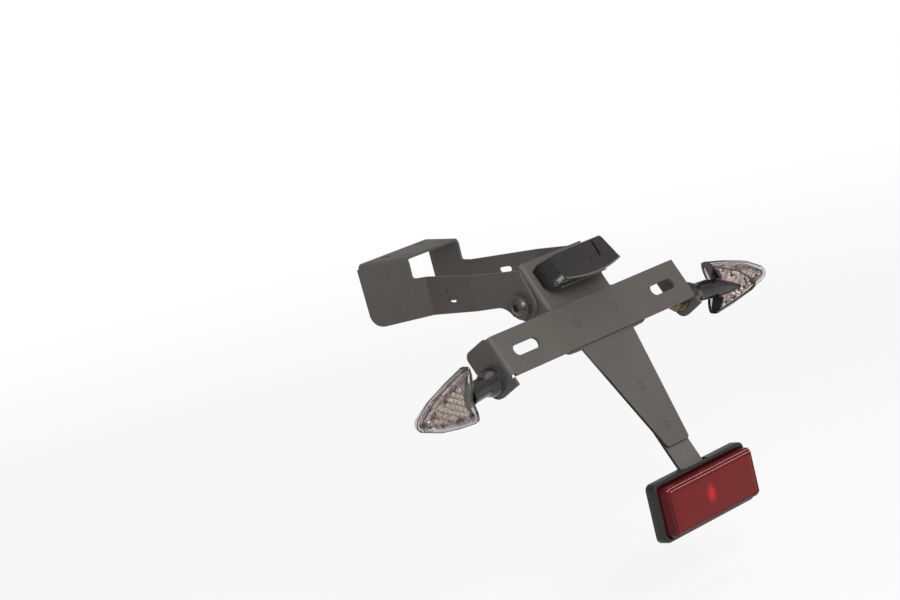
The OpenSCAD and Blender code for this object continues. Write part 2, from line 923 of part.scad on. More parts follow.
module indicator_stalk(s) {
    color(black_plastic) difference() {
        arrow_frame(s) difference() {
            stalk_solid();
            // Inside the arrowhead only the half on one face of it is left
            translate([barb_at + spear_open_at, -0.6, -big / 2]) cube([big, big, big]);
        }
        // It ends flat on the rubber pad, with a bore for its stud
        ear_frame(s) translate([pad_t - big, -big / 2, -big / 2]) cube([big, big, big]);
        ear_frame(s) rotate([0, 90, 0]) cylinder(d = pivot_d, h = stud_out);
    }
}

module indicator_pad(s) {
    color(black_rubber) ear_frame(s) rotate([0, 90, 0]) ring(pad_d, pivot_d, pad_t);
}

stud_out = 14;
stud_in = 13;

module indicator_studs() {
    color(yellow_zinc) for (s = [-1, 1]) ear_frame(s) translate([-stud_in, 0, 0])
        rotate([0, 90, 0]) cylinder(d = pivot_d, h = stud_in + stud_out);
}

// A hexagon nut with a round flange, on the ear's inner face
module indicator_nuts() {
    flange_d = 17;
    flange_t = 1.6;
    color(yellow_zinc) for (s = [-1, 1]) ear_frame(s) translate([-sheet, 0, 0])
        rotate([0, -90, 0]) difference() {
            union() {
                cylinder(d = flange_d, h = flange_t);
                linear_extrude(nut_h) hex2d(nut_flats);
            }
            translate([0, 0, -1]) cylinder(d = pivot_d, h = nut_h + 2);
        }
}

// Outline of the arrowhead: x outward from the ear, y up. Its parts are given from the barbs.
barb_r = 1.6;
belly = [[27, 0.5, 12], [38, -3.6, 9]];
tip_r = 4.5;
tip_up = -4.3;
notch_in = 2.5;

module arrow2d() {
    translate([barb_at, 0]) hull() {
        for (s = [-1, 1]) translate([barb_r, s * (barb_half - barb_r)]) circle(r = barb_r);
        for (b = belly) translate([b[0], b[1]]) circle(r = b[2], $fn = 64);
        translate([tip_reach - barb_at - tip_r, tip_up]) circle(r = tip_r);
    }
}

// What lies inward of the shallow V between the two barbs
module notch2d(inset) {
    translate([barb_at + inset, 0]) polygon([
        [-big, barb_half],
        [0, barb_half],
        [notch_in, 0],
        [0, -barb_half],
        [-big, -barb_half]
    ]);
}

// The arrowhead, thin at its edge and cushioned on both faces
module arrow_solid() {
    rotate([90, 0, 0]) difference() {
        hull() {
            linear_extrude(4.4, center = true) arrow2d();
            linear_extrude(1.5 * arrow_half_t, center = true) offset(delta = -2.6) arrow2d();
            linear_extrude(2 * arrow_half_t, center = true) offset(delta = -7) arrow2d();
        }
        linear_extrude(big, center = true) notch2d(0);
    }
}

// The space inside the arrowhead
module arrow_space(skin) {
    rotate([90, 0, 0]) difference() {
        hull() {
            linear_extrude(4.4, center = true) offset(delta = -skin) arrow2d();
            linear_extrude(2 * (arrow_half_t - skin), center = true)
                offset(delta = -7) arrow2d();
        }
        linear_extrude(big, center = true) notch2d(skin);
    }
}

// The window in the arrowhead's stalk face: wide at the barbs, with a round lower tip
window_tip = [39.5, -7.3];
window_tip_r = 3.8;

module window2d() {
    translate([barb_at, 0]) polygon(concat(
        [[-4, barb_half + 6], [0, barb_half - 3.3], [27, 6.1]],
        arc(window_tip, window_tip_r, 70, -80, 8),
        [[30, -12.8], [0, -barb_half + 1.4], [-4, -barb_half - 6]]
    ));
}

lens_skin = 1.6;
fishtail_l = 12;

module indicator_lens(s) {
    color(clear) arrow_frame(s) difference() {
        arrow_solid();
        arrow_space(lens_skin);
        // Open on the stalk's face, and at the inner end for the stalk
        rotate([90, 0, 0]) linear_extrude(big) window2d();
        rotate([0, 90, 0]) cylinder(r = neck_r + 0.3, h = barb_at + 8);
    }
}

// The black fishtail that closes the inner end of the window round the spear
module indicator_housing(s) {
    color(black_plastic) arrow_frame(s) difference() {
        intersection() {
            arrow_solid();
            rotate([90, 0, 0]) linear_extrude(big) intersection() {
                window2d();
                translate([barb_at - big, -big / 2]) square([big + fishtail_l, big]);
            }
        }
        arrow_space(2.2);
        stalk_solid();
    }
}

mirror_y = 0.9;
mirror_t = 1.2;
mirror_edge = 3.4;
mirror_from = barb_at + 7;
led_places = [[15, 0], [22, 5], [22, -6], [29, 0], [29, -8], [36, -3], [43, -4]];
led_d = 3;

// A bright reflector on each face of the board, the outer one with a hole for each diode
module indicator_mirror(s) {
    color(chrome) arrow_frame(s) {
        translate([0, mirror_y + mirror_t, 0]) rotate([90, 0, 0]) linear_extrude(mirror_t)
            difference() {
                mirror2d();
                for (p = led_places) translate([barb_at + p[0], p[1]])
                    circle(d = led_d + 0.6, $fn = 24);
            }
        rotate([90, 0, 0]) linear_extrude(0.5) mirror2d();
    }
}

module mirror2d() {
    intersection() {
        offset(delta = -mirror_edge) arrow2d();
        translate([mirror_from, -big / 2]) square(big);
    }
}

module indicator_board(s) {
    color(board_green) arrow_frame(s) translate([0, mirror_y, 0]) rotate([90, 0, 0])
        linear_extrude(0.8) intersection() {
            offset(delta = -5) arrow2d();
            translate([mirror_from + 2, -big / 2]) square([38, big]);
        }
    color("gold") arrow_frame(s) for (p = led_places)
        translate([barb_at + p[0], mirror_y, p[1]]) rotate([-90, 0, 0])
            cylinder(d = led_d, h = mirror_t + 1, $fn = 24);
}

module indicator_stalk_left() { indicator_stalk(-1); }
module indicator_stalk_right() { indicator_stalk(1); }
module indicator_pad_left() { indicator_pad(-1); }
module indicator_pad_right() { indicator_pad(1); }
module indicator_housing_left() { indicator_housing(-1); }
module indicator_housing_right() { indicator_housing(1); }
module indicator_lens_left() { indicator_lens(-1); }
module indicator_lens_right() { indicator_lens(1); }
module indicator_mirror_left() { indicator_mirror(-1); }
module indicator_mirror_right() { indicator_mirror(1); }
module indicator_board_left() { indicator_board(-1); }
module indicator_board_right() { indicator_board(1); }

tail_bracket();
pivot_bolts();
pivot_washers();
friction_washers();
pivot_nuts();
plate_support();
crossbar();
crossbar_studs();
crossbar_nuts();
reflector_strip();
strip_studs();
strip_nuts();
reflector_lens();
reflector_base();
reflector_stud();
reflector_nut();
lamp_body();
lamp_hood();
lamp_lens();
lamp_board();
lamp_screws();
indicator_stalk_left();
indicator_stalk_right();
indicator_pad_left();
indicator_pad_right();
indicator_housing_left();
indicator_housing_right();
indicator_lens_left();
indicator_lens_right();
indicator_mirror_left();
indicator_mirror_right();
indicator_board_left();
indicator_board_right();
indicator_studs();
indicator_nuts();
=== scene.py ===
# %% [markdown]
# # A tail tidy: folded black steel, clear arrow indicators and a red reflector
# The CAD model brings the solid pieces, and most of them stay as they are. This lesson
# gives each finish its own procedural material, models the arrowheads and the reflector's
# tray and lens anew, adds small detail, and sets a camera and plain studio light.

# %% Load the frame
import math

import bmesh
import bpy
from mathutils import Matrix, Vector
from mathutils.geometry import convex_hull_2d


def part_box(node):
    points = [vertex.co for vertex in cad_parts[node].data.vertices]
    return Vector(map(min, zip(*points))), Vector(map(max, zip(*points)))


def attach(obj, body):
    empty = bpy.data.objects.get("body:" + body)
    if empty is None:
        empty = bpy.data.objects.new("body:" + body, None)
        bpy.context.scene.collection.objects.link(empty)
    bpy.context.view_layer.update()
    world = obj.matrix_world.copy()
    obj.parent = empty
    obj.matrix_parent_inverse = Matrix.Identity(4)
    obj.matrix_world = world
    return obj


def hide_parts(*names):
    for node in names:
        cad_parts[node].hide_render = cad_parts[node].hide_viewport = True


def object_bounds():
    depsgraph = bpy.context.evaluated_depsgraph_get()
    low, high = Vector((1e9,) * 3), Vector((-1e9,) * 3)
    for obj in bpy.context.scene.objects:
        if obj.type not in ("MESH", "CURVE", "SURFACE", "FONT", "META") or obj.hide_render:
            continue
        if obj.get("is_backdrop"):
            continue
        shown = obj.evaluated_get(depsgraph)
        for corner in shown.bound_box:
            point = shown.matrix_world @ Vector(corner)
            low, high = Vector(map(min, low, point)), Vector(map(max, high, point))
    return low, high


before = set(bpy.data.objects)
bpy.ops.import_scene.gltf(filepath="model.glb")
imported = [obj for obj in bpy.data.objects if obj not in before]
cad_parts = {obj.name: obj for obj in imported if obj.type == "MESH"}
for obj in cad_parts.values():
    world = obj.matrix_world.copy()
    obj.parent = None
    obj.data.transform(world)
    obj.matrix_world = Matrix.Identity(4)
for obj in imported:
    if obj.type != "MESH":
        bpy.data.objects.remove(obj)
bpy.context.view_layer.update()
MM = 0.001

# %% [markdown]
# ## The camera
# A camera fitted to the photograph looks through a long lens from behind and to the left,
# a little above the object and with a slight roll. A camera can be aimed with a
# constraint, but a roll is easier to keep when the three axes are written as a matrix.

# %% Camera
CAM_RIGHT = Vector((0.65298, -0.72111, -0.23157))
CAM_UP = Vector((0.26597, -0.06795, 0.96158))
CAM_AT = Vector((-1490.46, -1473.11, 271.07)) * MM
LENS_MM = 120.0


def make_camera():
    data = bpy.data.cameras.new("camera")
    data.lens, data.sensor_width, data.sensor_fit = LENS_MM, 36.0, "HORIZONTAL"
    data.clip_start, data.clip_end = 0.05, 60.0
    cam = bpy.data.objects.new("camera", data)
    bpy.context.collection.objects.link(cam)
    right = CAM_RIGHT.normalized()
    up = (CAM_UP - right * CAM_UP.dot(right)).normalized()
    back = right.cross(up)
    turn = Matrix((right, up, back)).transposed().to_4x4()
    cam.matrix_world = Matrix.Translation(CAM_AT) @ turn
    bpy.context.scene.camera = cam
    return cam


camera = make_camera()
print("camera at", [round(v, 3) for v in camera.location])

# %% [markdown]
# ## Small helpers for shader nodes
# A material is a small graph. It could be drawn by hand in the shader editor, but a script
# gives the same graph each time. Five helpers keep each graph short: they add a node with
# its values already set, mix two colours, start a material with its Principled shader,
# start a node group with named sockets, and place such a group in a material.

# %% Node helpers


def add(tree, kind, links=None, **values):
    """Adds a node. Values that name an input set it, any other sets a property."""
    node = tree.nodes.new(kind)
    for key, value in values.items():
        name = key.replace("_", " ")
        if hasattr(node, key):
            setattr(node, key, value)
        else:
            node.inputs[name].default_value = value
    for name, source in (links or {}).items():
        tree.links.new(source, node.inputs[name])
    return node


MIX_FIRST, MIX_SECOND, MIX_RESULT = 6, 7, 2      # the Mix node's colour sockets


def mix_colours(tree, factor, first, second):
    """Mixes two colours, each a plain colour or another node's output."""
    node = add(tree, "ShaderNodeMix", {"Factor": factor}, data_type="RGBA")
    for number, colour in ((MIX_FIRST, first), (MIX_SECOND, second)):
        if isinstance(colour, bpy.types.NodeSocket):
            tree.links.new(colour, node.inputs[number])
        else:
            node.inputs[number].default_value = (*colour, 1.0)
    return node.outputs[MIX_RESULT]


def new_material(name, colour, **values):
    mat = bpy.data.materials.new(name)
    mat.use_nodes = True
    shader = mat.node_tree.nodes["Principled BSDF"]
    shader.inputs["Base Color"].default_value = (*colour, 1.0)
    for key, value in values.items():
        shader.inputs[key.replace("_", " ")].default_value = value
    mat.diffuse_color = (*colour, 1.0)
    return mat, mat.node_tree, shader


def new_group(name, inputs, outputs):
    group = bpy.data.node_groups.new(name, "ShaderNodeTree")
    for label, kind, value in inputs:
        socket = group.interface.new_socket(label, in_out="INPUT", socket_type=kind)
        if value is not None:
            socket.default_value = value
    for label, kind in outputs:
        group.interface.new_socket(label, in_out="OUTPUT", socket_type=kind)
    return group, group.nodes.new("NodeGroupInput"), group.nodes.new("NodeGroupOutput")


def place_group(tree, group, **values):
    node = tree.nodes.new("ShaderNodeGroup")
    node.node_tree = group
    for key, value in values.items():
        node.inputs[key.replace("_", " ")].default_value = value
    return node


print("node helpers", [f.__name__ for f in (add, mix_colours, new_material, new_group,
                                            place_group)])

# %% [markdown]
# ## Soft edges and a fine skin
# No real edge is perfectly sharp. A coated sheet has a thick, rounded edge, and its skin
# is very slightly uneven, like orange peel. A bevel modifier would need clean meshes, so
# the Bevel node rounds the shading instead, and a fine noise on top makes the skin.

# %% Group: rounded edge and skin
SKIN_DEPTH = 0.0002             # metres of height that a full-strength bump stands for
BEVEL_SAMPLES = 6


def make_skin_group():
    group, inp, out = new_group(
        "rounded_edge_and_skin",
        [("Edge Radius", "NodeSocketFloat", 0.0004),
         ("Skin Scale", "NodeSocketFloat", 900.0),
         ("Skin Height", "NodeSocketFloat", 0.05)],
        [("Normal", "NodeSocketVector")])
    bevel = add(group, "ShaderNodeBevel", {"Radius": inp.outputs["Edge Radius"]},
                samples=BEVEL_SAMPLES)
    place = add(group, "ShaderNodeTexCoord")
    noise = add(group, "ShaderNodeTexNoise",
                {"Vector": place.outputs["Object"], "Scale": inp.outputs["Skin Scale"]},
                Detail=2.0, Roughness=0.5)
    bump = add(group, "ShaderNodeBump",
               {"Height": noise.outputs["Fac"], "Strength": inp.outputs["Skin Height"],
                "Normal": bevel.outputs["Normal"]}, Distance=SKIN_DEPTH)
    group.links.new(bump.outputs["Normal"], out.inputs["Normal"])
    return group


skin = make_skin_group()
print("group", skin.name, "has", len(skin.nodes), "nodes")

# %% [markdown]
# ## Handling marks
# A part that has been packed and bolted on is never evenly clean: a thin dust lies on it
# and fingers have polished some of it. Two noises of very different size, multiplied,
# give patches that break up the shine without being seen as a pattern.

# %% Group: handling marks
MARKS_FROM, MARKS_TO = 0.12, 0.42   # the part of the noise's range that is spread out


def make_marks_group():
    group, inp, out = new_group(
        "handling_marks",
        [("Patch Scale", "NodeSocketFloat", 30.0),
         ("Speck Scale", "NodeSocketFloat", 700.0),
         ("Clean", "NodeSocketColor", (0.1, 0.1, 0.1, 1.0)),
         ("Dusty", "NodeSocketColor", (0.14, 0.14, 0.13, 1.0)),
         ("Shine", "NodeSocketFloat", 0.4),
         ("Dull", "NodeSocketFloat", 0.55)],
        [("Colour", "NodeSocketColor"), ("Roughness", "NodeSocketFloat")])
    place = add(group, "ShaderNodeTexCoord")
    patch = add(group, "ShaderNodeTexNoise",
                {"Vector": place.outputs["Object"], "Scale": inp.outputs["Patch Scale"]},
                Detail=5.0, Roughness=0.6, Distortion=0.4)
    speck = add(group, "ShaderNodeTexNoise",
                {"Vector": place.outputs["Object"], "Scale": inp.outputs["Speck Scale"]},
                Detail=2.0)
    both = add(group, "ShaderNodeMath", {0: patch.outputs["Fac"], 1: speck.outputs["Fac"]},
               operation="MULTIPLY")
    spread = add(group, "ShaderNodeMapRange", {"Value": both.outputs["Value"]})
    spread.inputs["From Min"].default_value = MARKS_FROM
    spread.inputs["From Max"].default_value = MARKS_TO
    colour = mix_colours(group, spread.outputs["Result"], inp.outputs["Clean"],
                         inp.outputs["Dusty"])
    rough = add(group, "ShaderNodeMapRange",
                {"Value": spread.outputs["Result"], "To Min": inp.outputs["Shine"],
                 "To Max": inp.outputs["Dull"]})
    group.links.new(colour, out.inputs["Colour"])
    group.links.new(rough.outputs["Result"], out.inputs["Roughness"])
    return group


marks = make_marks_group()
print("group", marks.name, "has", len(marks.nodes), "nodes")

# %% [markdown]
# ## Cut edges of the sheet
# In the photograph the thin cut edges of the tapering arm and the strip are far darker
# than their faces, most likely because they turn away from the light. The lamps here
# don't shade them so much, so the shade is painted. The mask compares each normal with
# the leaning sheet's: a face looks along it and a cut edge looks across it. It starts
# below the bar, where the sheet has no folds. Painted shade stays when a lamp moves, so
# a lamp that leaves these edges dark would be the truer way.

# %% Group: cut edges
SHEET_NORMAL = (0.0, -0.8829, 0.4695)
EDGE_TOP, EDGE_FULL = -0.088, -0.098     # heights between which the mask fades in
ACROSS_NONE, ACROSS_FULL = 0.6, 0.3      # how far along the sheet's normal a face looks
CUT_EDGE_SHADE = (0.010, 0.009, 0.008)


def make_edge_group():
    group, inp, out = new_group(
        "cut_edges", [("Amount", "NodeSocketFloat", 1.0)], [("Mask", "NodeSocketFloat")])
    face = add(group, "ShaderNodeNewGeometry")
    own = add(group, "ShaderNodeVectorTransform", {"Vector": face.outputs["True Normal"]},
              vector_type="NORMAL", convert_from="WORLD", convert_to="OBJECT")
    dot = add(group, "ShaderNodeVectorMath", {0: own.outputs["Vector"]},
              operation="DOT_PRODUCT")
    dot.inputs[1].default_value = SHEET_NORMAL
    size = add(group, "ShaderNodeMath", {0: dot.outputs["Value"]}, operation="ABSOLUTE")
    across = add(group, "ShaderNodeMapRange", {"Value": size.outputs["Value"]})
    across.inputs["From Min"].default_value = ACROSS_NONE
    across.inputs["From Max"].default_value = ACROSS_FULL
    place = add(group, "ShaderNodeTexCoord")
    spot = add(group, "ShaderNodeSeparateXYZ", {"Vector": place.outputs["Object"]})
    low = add(group, "ShaderNodeMapRange", {"Value": spot.outputs["Z"]})
    low.inputs["From Min"].default_value = EDGE_TOP
    low.inputs["From Max"].default_value = EDGE_FULL
    both = add(group, "ShaderNodeMath", {0: across.outputs["Result"],
                                         1: low.outputs["Result"]}, operation="MULTIPLY")
    part = add(group, "ShaderNodeMath", {0: both.outputs["Value"],
                                         1: inp.outputs["Amount"]}, operation="MULTIPLY")
    group.links.new(part.outputs["Value"], out.inputs["Mask"])
    return group


cut_edges = make_edge_group()
print("group", cut_edges.name, "has", len(cut_edges.nodes), "nodes")

# %% [markdown]
# ## The opaque finishes
# Powder coat, moulded plastic, rubber and plated steel differ in colour, in how wide
# their highlight is and in the size of their skin. Each could have a graph of its own, but
# one function that lays the same two groups into a material keeps them alike, and each
# finish is then one call with its own values. The bar, the arm and the strip are probably
# coated alike. Their tones are set apart here only to match the photograph: the strip's
# coat, and by a hair the arm's, are lighter copies of the bar's, a painted light.

# %% Opaque finishes


def finish_material(name, clean, dusty, shine, dull, skin_scale, skin_height,
                    edge=0.0004, patch=30.0, speck=700.0, **values):
    mat, tree, shader = new_material(name, clean, **values)
    mark = place_group(tree, marks, Clean=(*clean, 1.0), Dusty=(*dusty, 1.0), Shine=shine,
                       Dull=dull, Patch_Scale=patch, Speck_Scale=speck)
    face = place_group(tree, skin, Edge_Radius=edge, Skin_Scale=skin_scale,
                       Skin_Height=skin_height)
    tree.links.new(mark.outputs["Colour"], shader.inputs["Base Color"])
    tree.links.new(mark.outputs["Roughness"], shader.inputs["Roughness"])
    tree.links.new(face.outputs["Normal"], shader.inputs["Normal"])
    return mat


powder_coat = finish_material(
    "powder_coat", (0.088, 0.080, 0.074), (0.104, 0.096, 0.089), 0.46, 0.60, 1100.0, 0.10,
    Specular_IOR_Level=0.22)
# The strip's coat is a lighter copy of the bar's: painted light on the strip
strip_coat_lit = finish_material(
    "strip_coat_lit", (0.112, 0.102, 0.096), (0.128, 0.118, 0.111), 0.46, 0.60, 1100.0, 0.10,
    Specular_IOR_Level=0.22)
# The arm's coat is a hair lighter than the bar's, also painted light
arm_coat = finish_material(
    "arm_coat", (0.090, 0.082, 0.076), (0.106, 0.098, 0.091), 0.46, 0.60, 1100.0, 0.10,
    Specular_IOR_Level=0.22)
moulded_black = finish_material(
    "moulded_black", (0.010, 0.009, 0.009), (0.020, 0.018, 0.017), 0.30, 0.46, 1800.0, 0.12,
    Specular_IOR_Level=0.35)
gloss_black = finish_material(
    "gloss_black", (0.010, 0.009, 0.009), (0.020, 0.018, 0.017), 0.16, 0.28, 1500.0, 0.02,
    Specular_IOR_Level=0.5)
pad_rubber = finish_material(
    "pad_rubber", (0.012, 0.012, 0.012), (0.03, 0.029, 0.028), 0.62, 0.82, 1300.0, 0.20)
bright_zinc = finish_material(
    "bright_zinc", (0.56, 0.56, 0.58), (0.44, 0.44, 0.46), 0.24, 0.42, 1500.0, 0.08,
    edge=0.0003, Metallic=1.0)
black_zinc = finish_material(
    "black_zinc", (0.06, 0.058, 0.056), (0.085, 0.082, 0.08), 0.26, 0.42, 1500.0, 0.06,
    edge=0.0004, Metallic=0.6)
yellow_zinc = finish_material(
    "yellow_zinc", (0.24, 0.18, 0.09), (0.13, 0.10, 0.06), 0.34, 0.50, 1500.0, 0.10,
    edge=0.0003, Metallic=1.0)
circuit_board = finish_material(
    "circuit_board", (0.20, 0.17, 0.12), (0.28, 0.24, 0.18), 0.45, 0.6, 900.0, 0.3)
opaque = (powder_coat, strip_coat_lit, arm_coat, moulded_black, gloss_black, pad_rubber,
          bright_zinc, black_zinc, yellow_zinc, circuit_board)
print("opaque finishes", len(opaque))

# %% Darker cut edges


def darken_edges(mat, amount):
    """Lays the painted shade of the cut edges over a finish that already has its colour."""
    tree = mat.node_tree
    shader = next(n for n in tree.nodes if n.type == "BSDF_PRINCIPLED")
    colour = shader.inputs["Base Color"].links[0].from_socket
    mask = place_group(tree, cut_edges, Amount=amount)
    dark = mix_colours(tree, mask.outputs["Mask"], colour, CUT_EDGE_SHADE)
    tree.links.new(dark, shader.inputs["Base Color"])


darken_edges(strip_coat_lit, 1.0)
darken_edges(arm_coat, 0.95)
print("cut edges are dark on", strip_coat_lit.name, "and", arm_coat.name)

# %% [markdown]
# ## Clear lenses
# The lamp's window and the indicators' shells are moulded from clear polycarbonate.
# They could be a see-through mix, but then nothing behind them would bend. A glass shader
# bends the light. Its index, 1.45, is lower than polycarbonate's 1.58, so it bends less.

# %% Clear lens
LENS_INDEX = 1.45


def clear_material(name, middle, rim, blend=0.35):
    mat, tree, shader = new_material(
        name, middle, Transmission_Weight=1.0, Roughness=0.04, IOR=LENS_INDEX)
    face = place_group(tree, skin, Edge_Radius=0.0006, Skin_Scale=260.0, Skin_Height=0.03)
    # A moulded shell looks darker where the eye looks along its wall
    weight = add(tree, "ShaderNodeLayerWeight", Blend=blend)
    tint = mix_colours(tree, weight.outputs["Facing"], middle, rim)
    tree.links.new(tint, shader.inputs["Base Color"])
    tree.links.new(face.outputs["Normal"], shader.inputs["Normal"])
    return mat


clear_lens = clear_material("clear_lens", (0.90, 0.88, 0.87), (0.40, 0.38, 0.37))
smoky_lens = clear_material("smoky_lens", (0.90, 0.87, 0.87), (0.16, 0.14, 0.14), 0.45)
print("clear finishes", clear_lens.name, smoky_lens.name, "index", LENS_INDEX)

# %% [markdown]
# ## The mirror behind the lens
# The indicator's inner bowl is plated bright and covered in small facets, which throw
# the light about, so it shows patches of everything round it. Hundreds of facets could be
# modelled, but the photograph is too blurred to copy them, so the cells of a Voronoi
# texture give each facet its own tone and slope. The tones are painted, not reflected.

# %% Faceted mirror
FACET_SCALE = 420.0             # cells in a metre


def facet_material(name, tones, scale, rough):
    mat, tree, shader = new_material(name, tones[0], Metallic=1.0, Roughness=rough)
    place = add(tree, "ShaderNodeTexCoord")
    cells = add(tree, "ShaderNodeTexVoronoi", {"Vector": place.outputs["Object"]},
                Scale=scale, feature="F1")
    split = add(tree, "ShaderNodeSeparateColor", {"Color": cells.outputs["Color"]})
    ramp = add(tree, "ShaderNodeValToRGB", {"Fac": split.outputs["Red"]})
    stops = ramp.color_ramp.elements
    while len(stops) < len(tones):
        stops.new(0.5)
    for i, tone in enumerate(tones):
        stops[i].position = i / len(tones)
        stops[i].color = (*tone, 1.0)
    ramp.color_ramp.interpolation = "CONSTANT"
    bump = add(tree, "ShaderNodeBump", {"Height": cells.outputs["Distance"]},
               Strength=0.6, Distance=0.0012)
    tree.links.new(ramp.outputs["Color"], shader.inputs["Base Color"])
    tree.links.new(bump.outputs["Normal"], shader.inputs["Normal"])
    return mat


mirror_finish = facet_material(
    "faceted_mirror",
    [(0.60, 0.50, 0.48), (0.20, 0.14, 0.13), (0.74, 0.64, 0.58), (0.42, 0.31, 0.32),
     (0.66, 0.56, 0.52), (0.10, 0.07, 0.06)], FACET_SCALE, 0.42)
led_cream = finish_material(
    "led_cream", (0.84, 0.75, 0.62), (0.50, 0.40, 0.32), 0.42, 0.60, 800.0, 0.1,
    Specular_IOR_Level=0.3)
print("mirror facets about", round(1000 / FACET_SCALE, 1), "mm")

# %% [markdown]
# ## The red reflector
# A reflector is a red lens with rows of tiny corner cubes moulded into its back. From
# outside they show as a fine regular grain under a smooth, glossy face. Modelled cubes
# would cost far more than they show, so a nearly regular Voronoi texture stands for them.
# The photograph also shows a small bright patch, where the cubes send light back. On a
# real reflector it moves with the eye. This shader has no such cubes, so the patch is
# painted where the photograph shows it, and it stays there in every view.

# %% Reflector red
LENS_HALF_W, LENS_HALF_H = 0.0475, 0.0165
RIM_START, RIM_FULL = 0.0042, 0.0012     # distances in from the lens's edge
PRISM_SCALE = 420.0
PATCH_AT, PATCH_SQUEEZE = (-0.0045, 0.0, 0.0006), (1.0, 0.0, 0.70)
PATCH_EDGE, PATCH_CORE = 0.0062, 0.0008
RED_LIGHT, RED_DEEP = (0.165, 0.010, 0.009), (0.075, 0.003, 0.003)
RED_RIM_SHADE, RED_PAINTED_REFLECTION = (0.085, 0.002, 0.005), (0.80, 0.016, 0.026)


def reflector_material():
    mat, tree, shader = new_material(
        "reflector_red", (0.13, 0.006, 0.006), Roughness=0.16, Specular_IOR_Level=0.16)
    low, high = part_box("reflector_lens")
    middle = (Vector(low) + Vector(high)) / 2
    place = add(tree, "ShaderNodeTexCoord")
    cells = add(tree, "ShaderNodeTexVoronoi", {"Vector": place.outputs["Object"]},
                Scale=PRISM_SCALE, feature="F1", Randomness=0.15)
    # How near a point is to the face's edge, for the dark rim that a thick lens has, painted
    # here as shade
    off = add(tree, "ShaderNodeVectorMath", {0: place.outputs["Object"]},
              operation="SUBTRACT")
    off.inputs[1].default_value = middle
    axes = add(tree, "ShaderNodeSeparateXYZ", {"Vector": off.outputs["Vector"]})
    edge = None
    for axis, half in (("X", LENS_HALF_W), ("Z", LENS_HALF_H)):
        size = add(tree, "ShaderNodeMath", {0: axes.outputs[axis]}, operation="ABSOLUTE")
        near = add(tree, "ShaderNodeMapRange", {"Value": size.outputs["Value"]},
                   interpolation_type="SMOOTHSTEP")
        near.inputs["From Min"].default_value = half - RIM_START
        near.inputs["From Max"].default_value = half - RIM_FULL
        if edge is None:
            edge = near.outputs["Result"]
        else:
            both = add(tree, "ShaderNodeMath", {0: edge, 1: near.outputs["Result"]},
                       operation="MAXIMUM")
            edge = both.outputs["Value"]
    cloud = add(tree, "ShaderNodeTexNoise", {"Vector": place.outputs["Object"]},
                Scale=38.0, Detail=3.0)
    grain = add(tree, "ShaderNodeMath",
                {0: cells.outputs["Distance"], 1: cloud.outputs["Fac"]}, operation="MULTIPLY")
    tone = mix_colours(tree, grain.outputs["Value"], RED_LIGHT, RED_DEEP)
    # The dark rim along the face's edge is painted shade
    rim = mix_colours(tree, edge, tone, RED_RIM_SHADE)
    # How near a point is to the painted patch
    squeeze = add(tree, "ShaderNodeVectorMath", {0: off.outputs["Vector"]},
                  operation="MULTIPLY")
    squeeze.inputs[1].default_value = PATCH_SQUEEZE
    reach = add(tree, "ShaderNodeVectorMath", {0: squeeze.outputs["Vector"]},
                operation="DISTANCE")
    reach.inputs[1].default_value = PATCH_AT
    patch = add(tree, "ShaderNodeMapRange", {"Value": reach.outputs["Value"]},
                interpolation_type="SMOOTHSTEP")
    patch.inputs["From Min"].default_value = PATCH_EDGE
    patch.inputs["From Max"].default_value = PATCH_CORE
    broken = add(tree, "ShaderNodeMath",
                 {0: patch.outputs["Result"], 1: cloud.outputs["Fac"]}, operation="MULTIPLY")
    # The patch is a painted reflection, fixed in place on the lens
    painted_reflection = mix_colours(tree, broken.outputs["Value"], rim, RED_PAINTED_REFLECTION)
    tree.links.new(painted_reflection, shader.inputs["Base Color"])
    return mat


reflector_red = reflector_material()
print("reflector cells about", round(1000 / PRISM_SCALE, 1), "mm")

# %% [markdown]
# ## Dress the CAD nodes
# A CAD node keeps its mesh. Its look comes only from the material in its slots. Each could
# be set by hand in the outliner, but a table from node to finish shows at a glance what
# is made of what.

# %% Dress the nodes
FINISH = {
    "tail_bracket": powder_coat, "plate_support": arm_coat, "crossbar": powder_coat,
    "crossbar_studs": powder_coat, "reflector_strip": strip_coat_lit, "strip_studs": powder_coat,
    "pivot_bolts": black_zinc, "pivot_washers": black_zinc, "pivot_nuts": bright_zinc,
    "friction_washers": moulded_black, "crossbar_nuts": bright_zinc,
    "strip_nuts": bright_zinc, "reflector_nut": bright_zinc, "reflector_stud": bright_zinc,
    "lamp_screws": bright_zinc, "reflector_lens": reflector_red,
    "reflector_base": moulded_black, "lamp_body": moulded_black, "lamp_hood": gloss_black,
    "lamp_lens": clear_lens, "lamp_board": circuit_board, "indicator_studs": yellow_zinc,
    "indicator_nuts": yellow_zinc,
}
for side in ("left", "right"):
    FINISH["indicator_stalk_" + side] = gloss_black
    FINISH["indicator_pad_" + side] = pad_rubber
    FINISH["indicator_housing_" + side] = gloss_black
    FINISH["indicator_lens_" + side] = clear_lens
    FINISH["indicator_mirror_" + side] = mirror_finish
    FINISH["indicator_board_" + side] = circuit_board

for name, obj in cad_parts.items():
    obj.data.materials.clear()
    obj.data.materials.append(FINISH[name])
print("dressed", len(FINISH), "nodes")

# %% [markdown]
# ## Frames and mesh helpers
# The moulded pieces are drawn in their own frames, in millimetres: the crossbar's face,
# the axis of each indicator, the front of the reflector and the slope of the lamp's hood.
# A piece is shaped there and then carried to its place in one step, which keeps the
# numbers readable and lets the left and the right indicator share one shape. Working in
# the object's own frame would put a slope into every number.

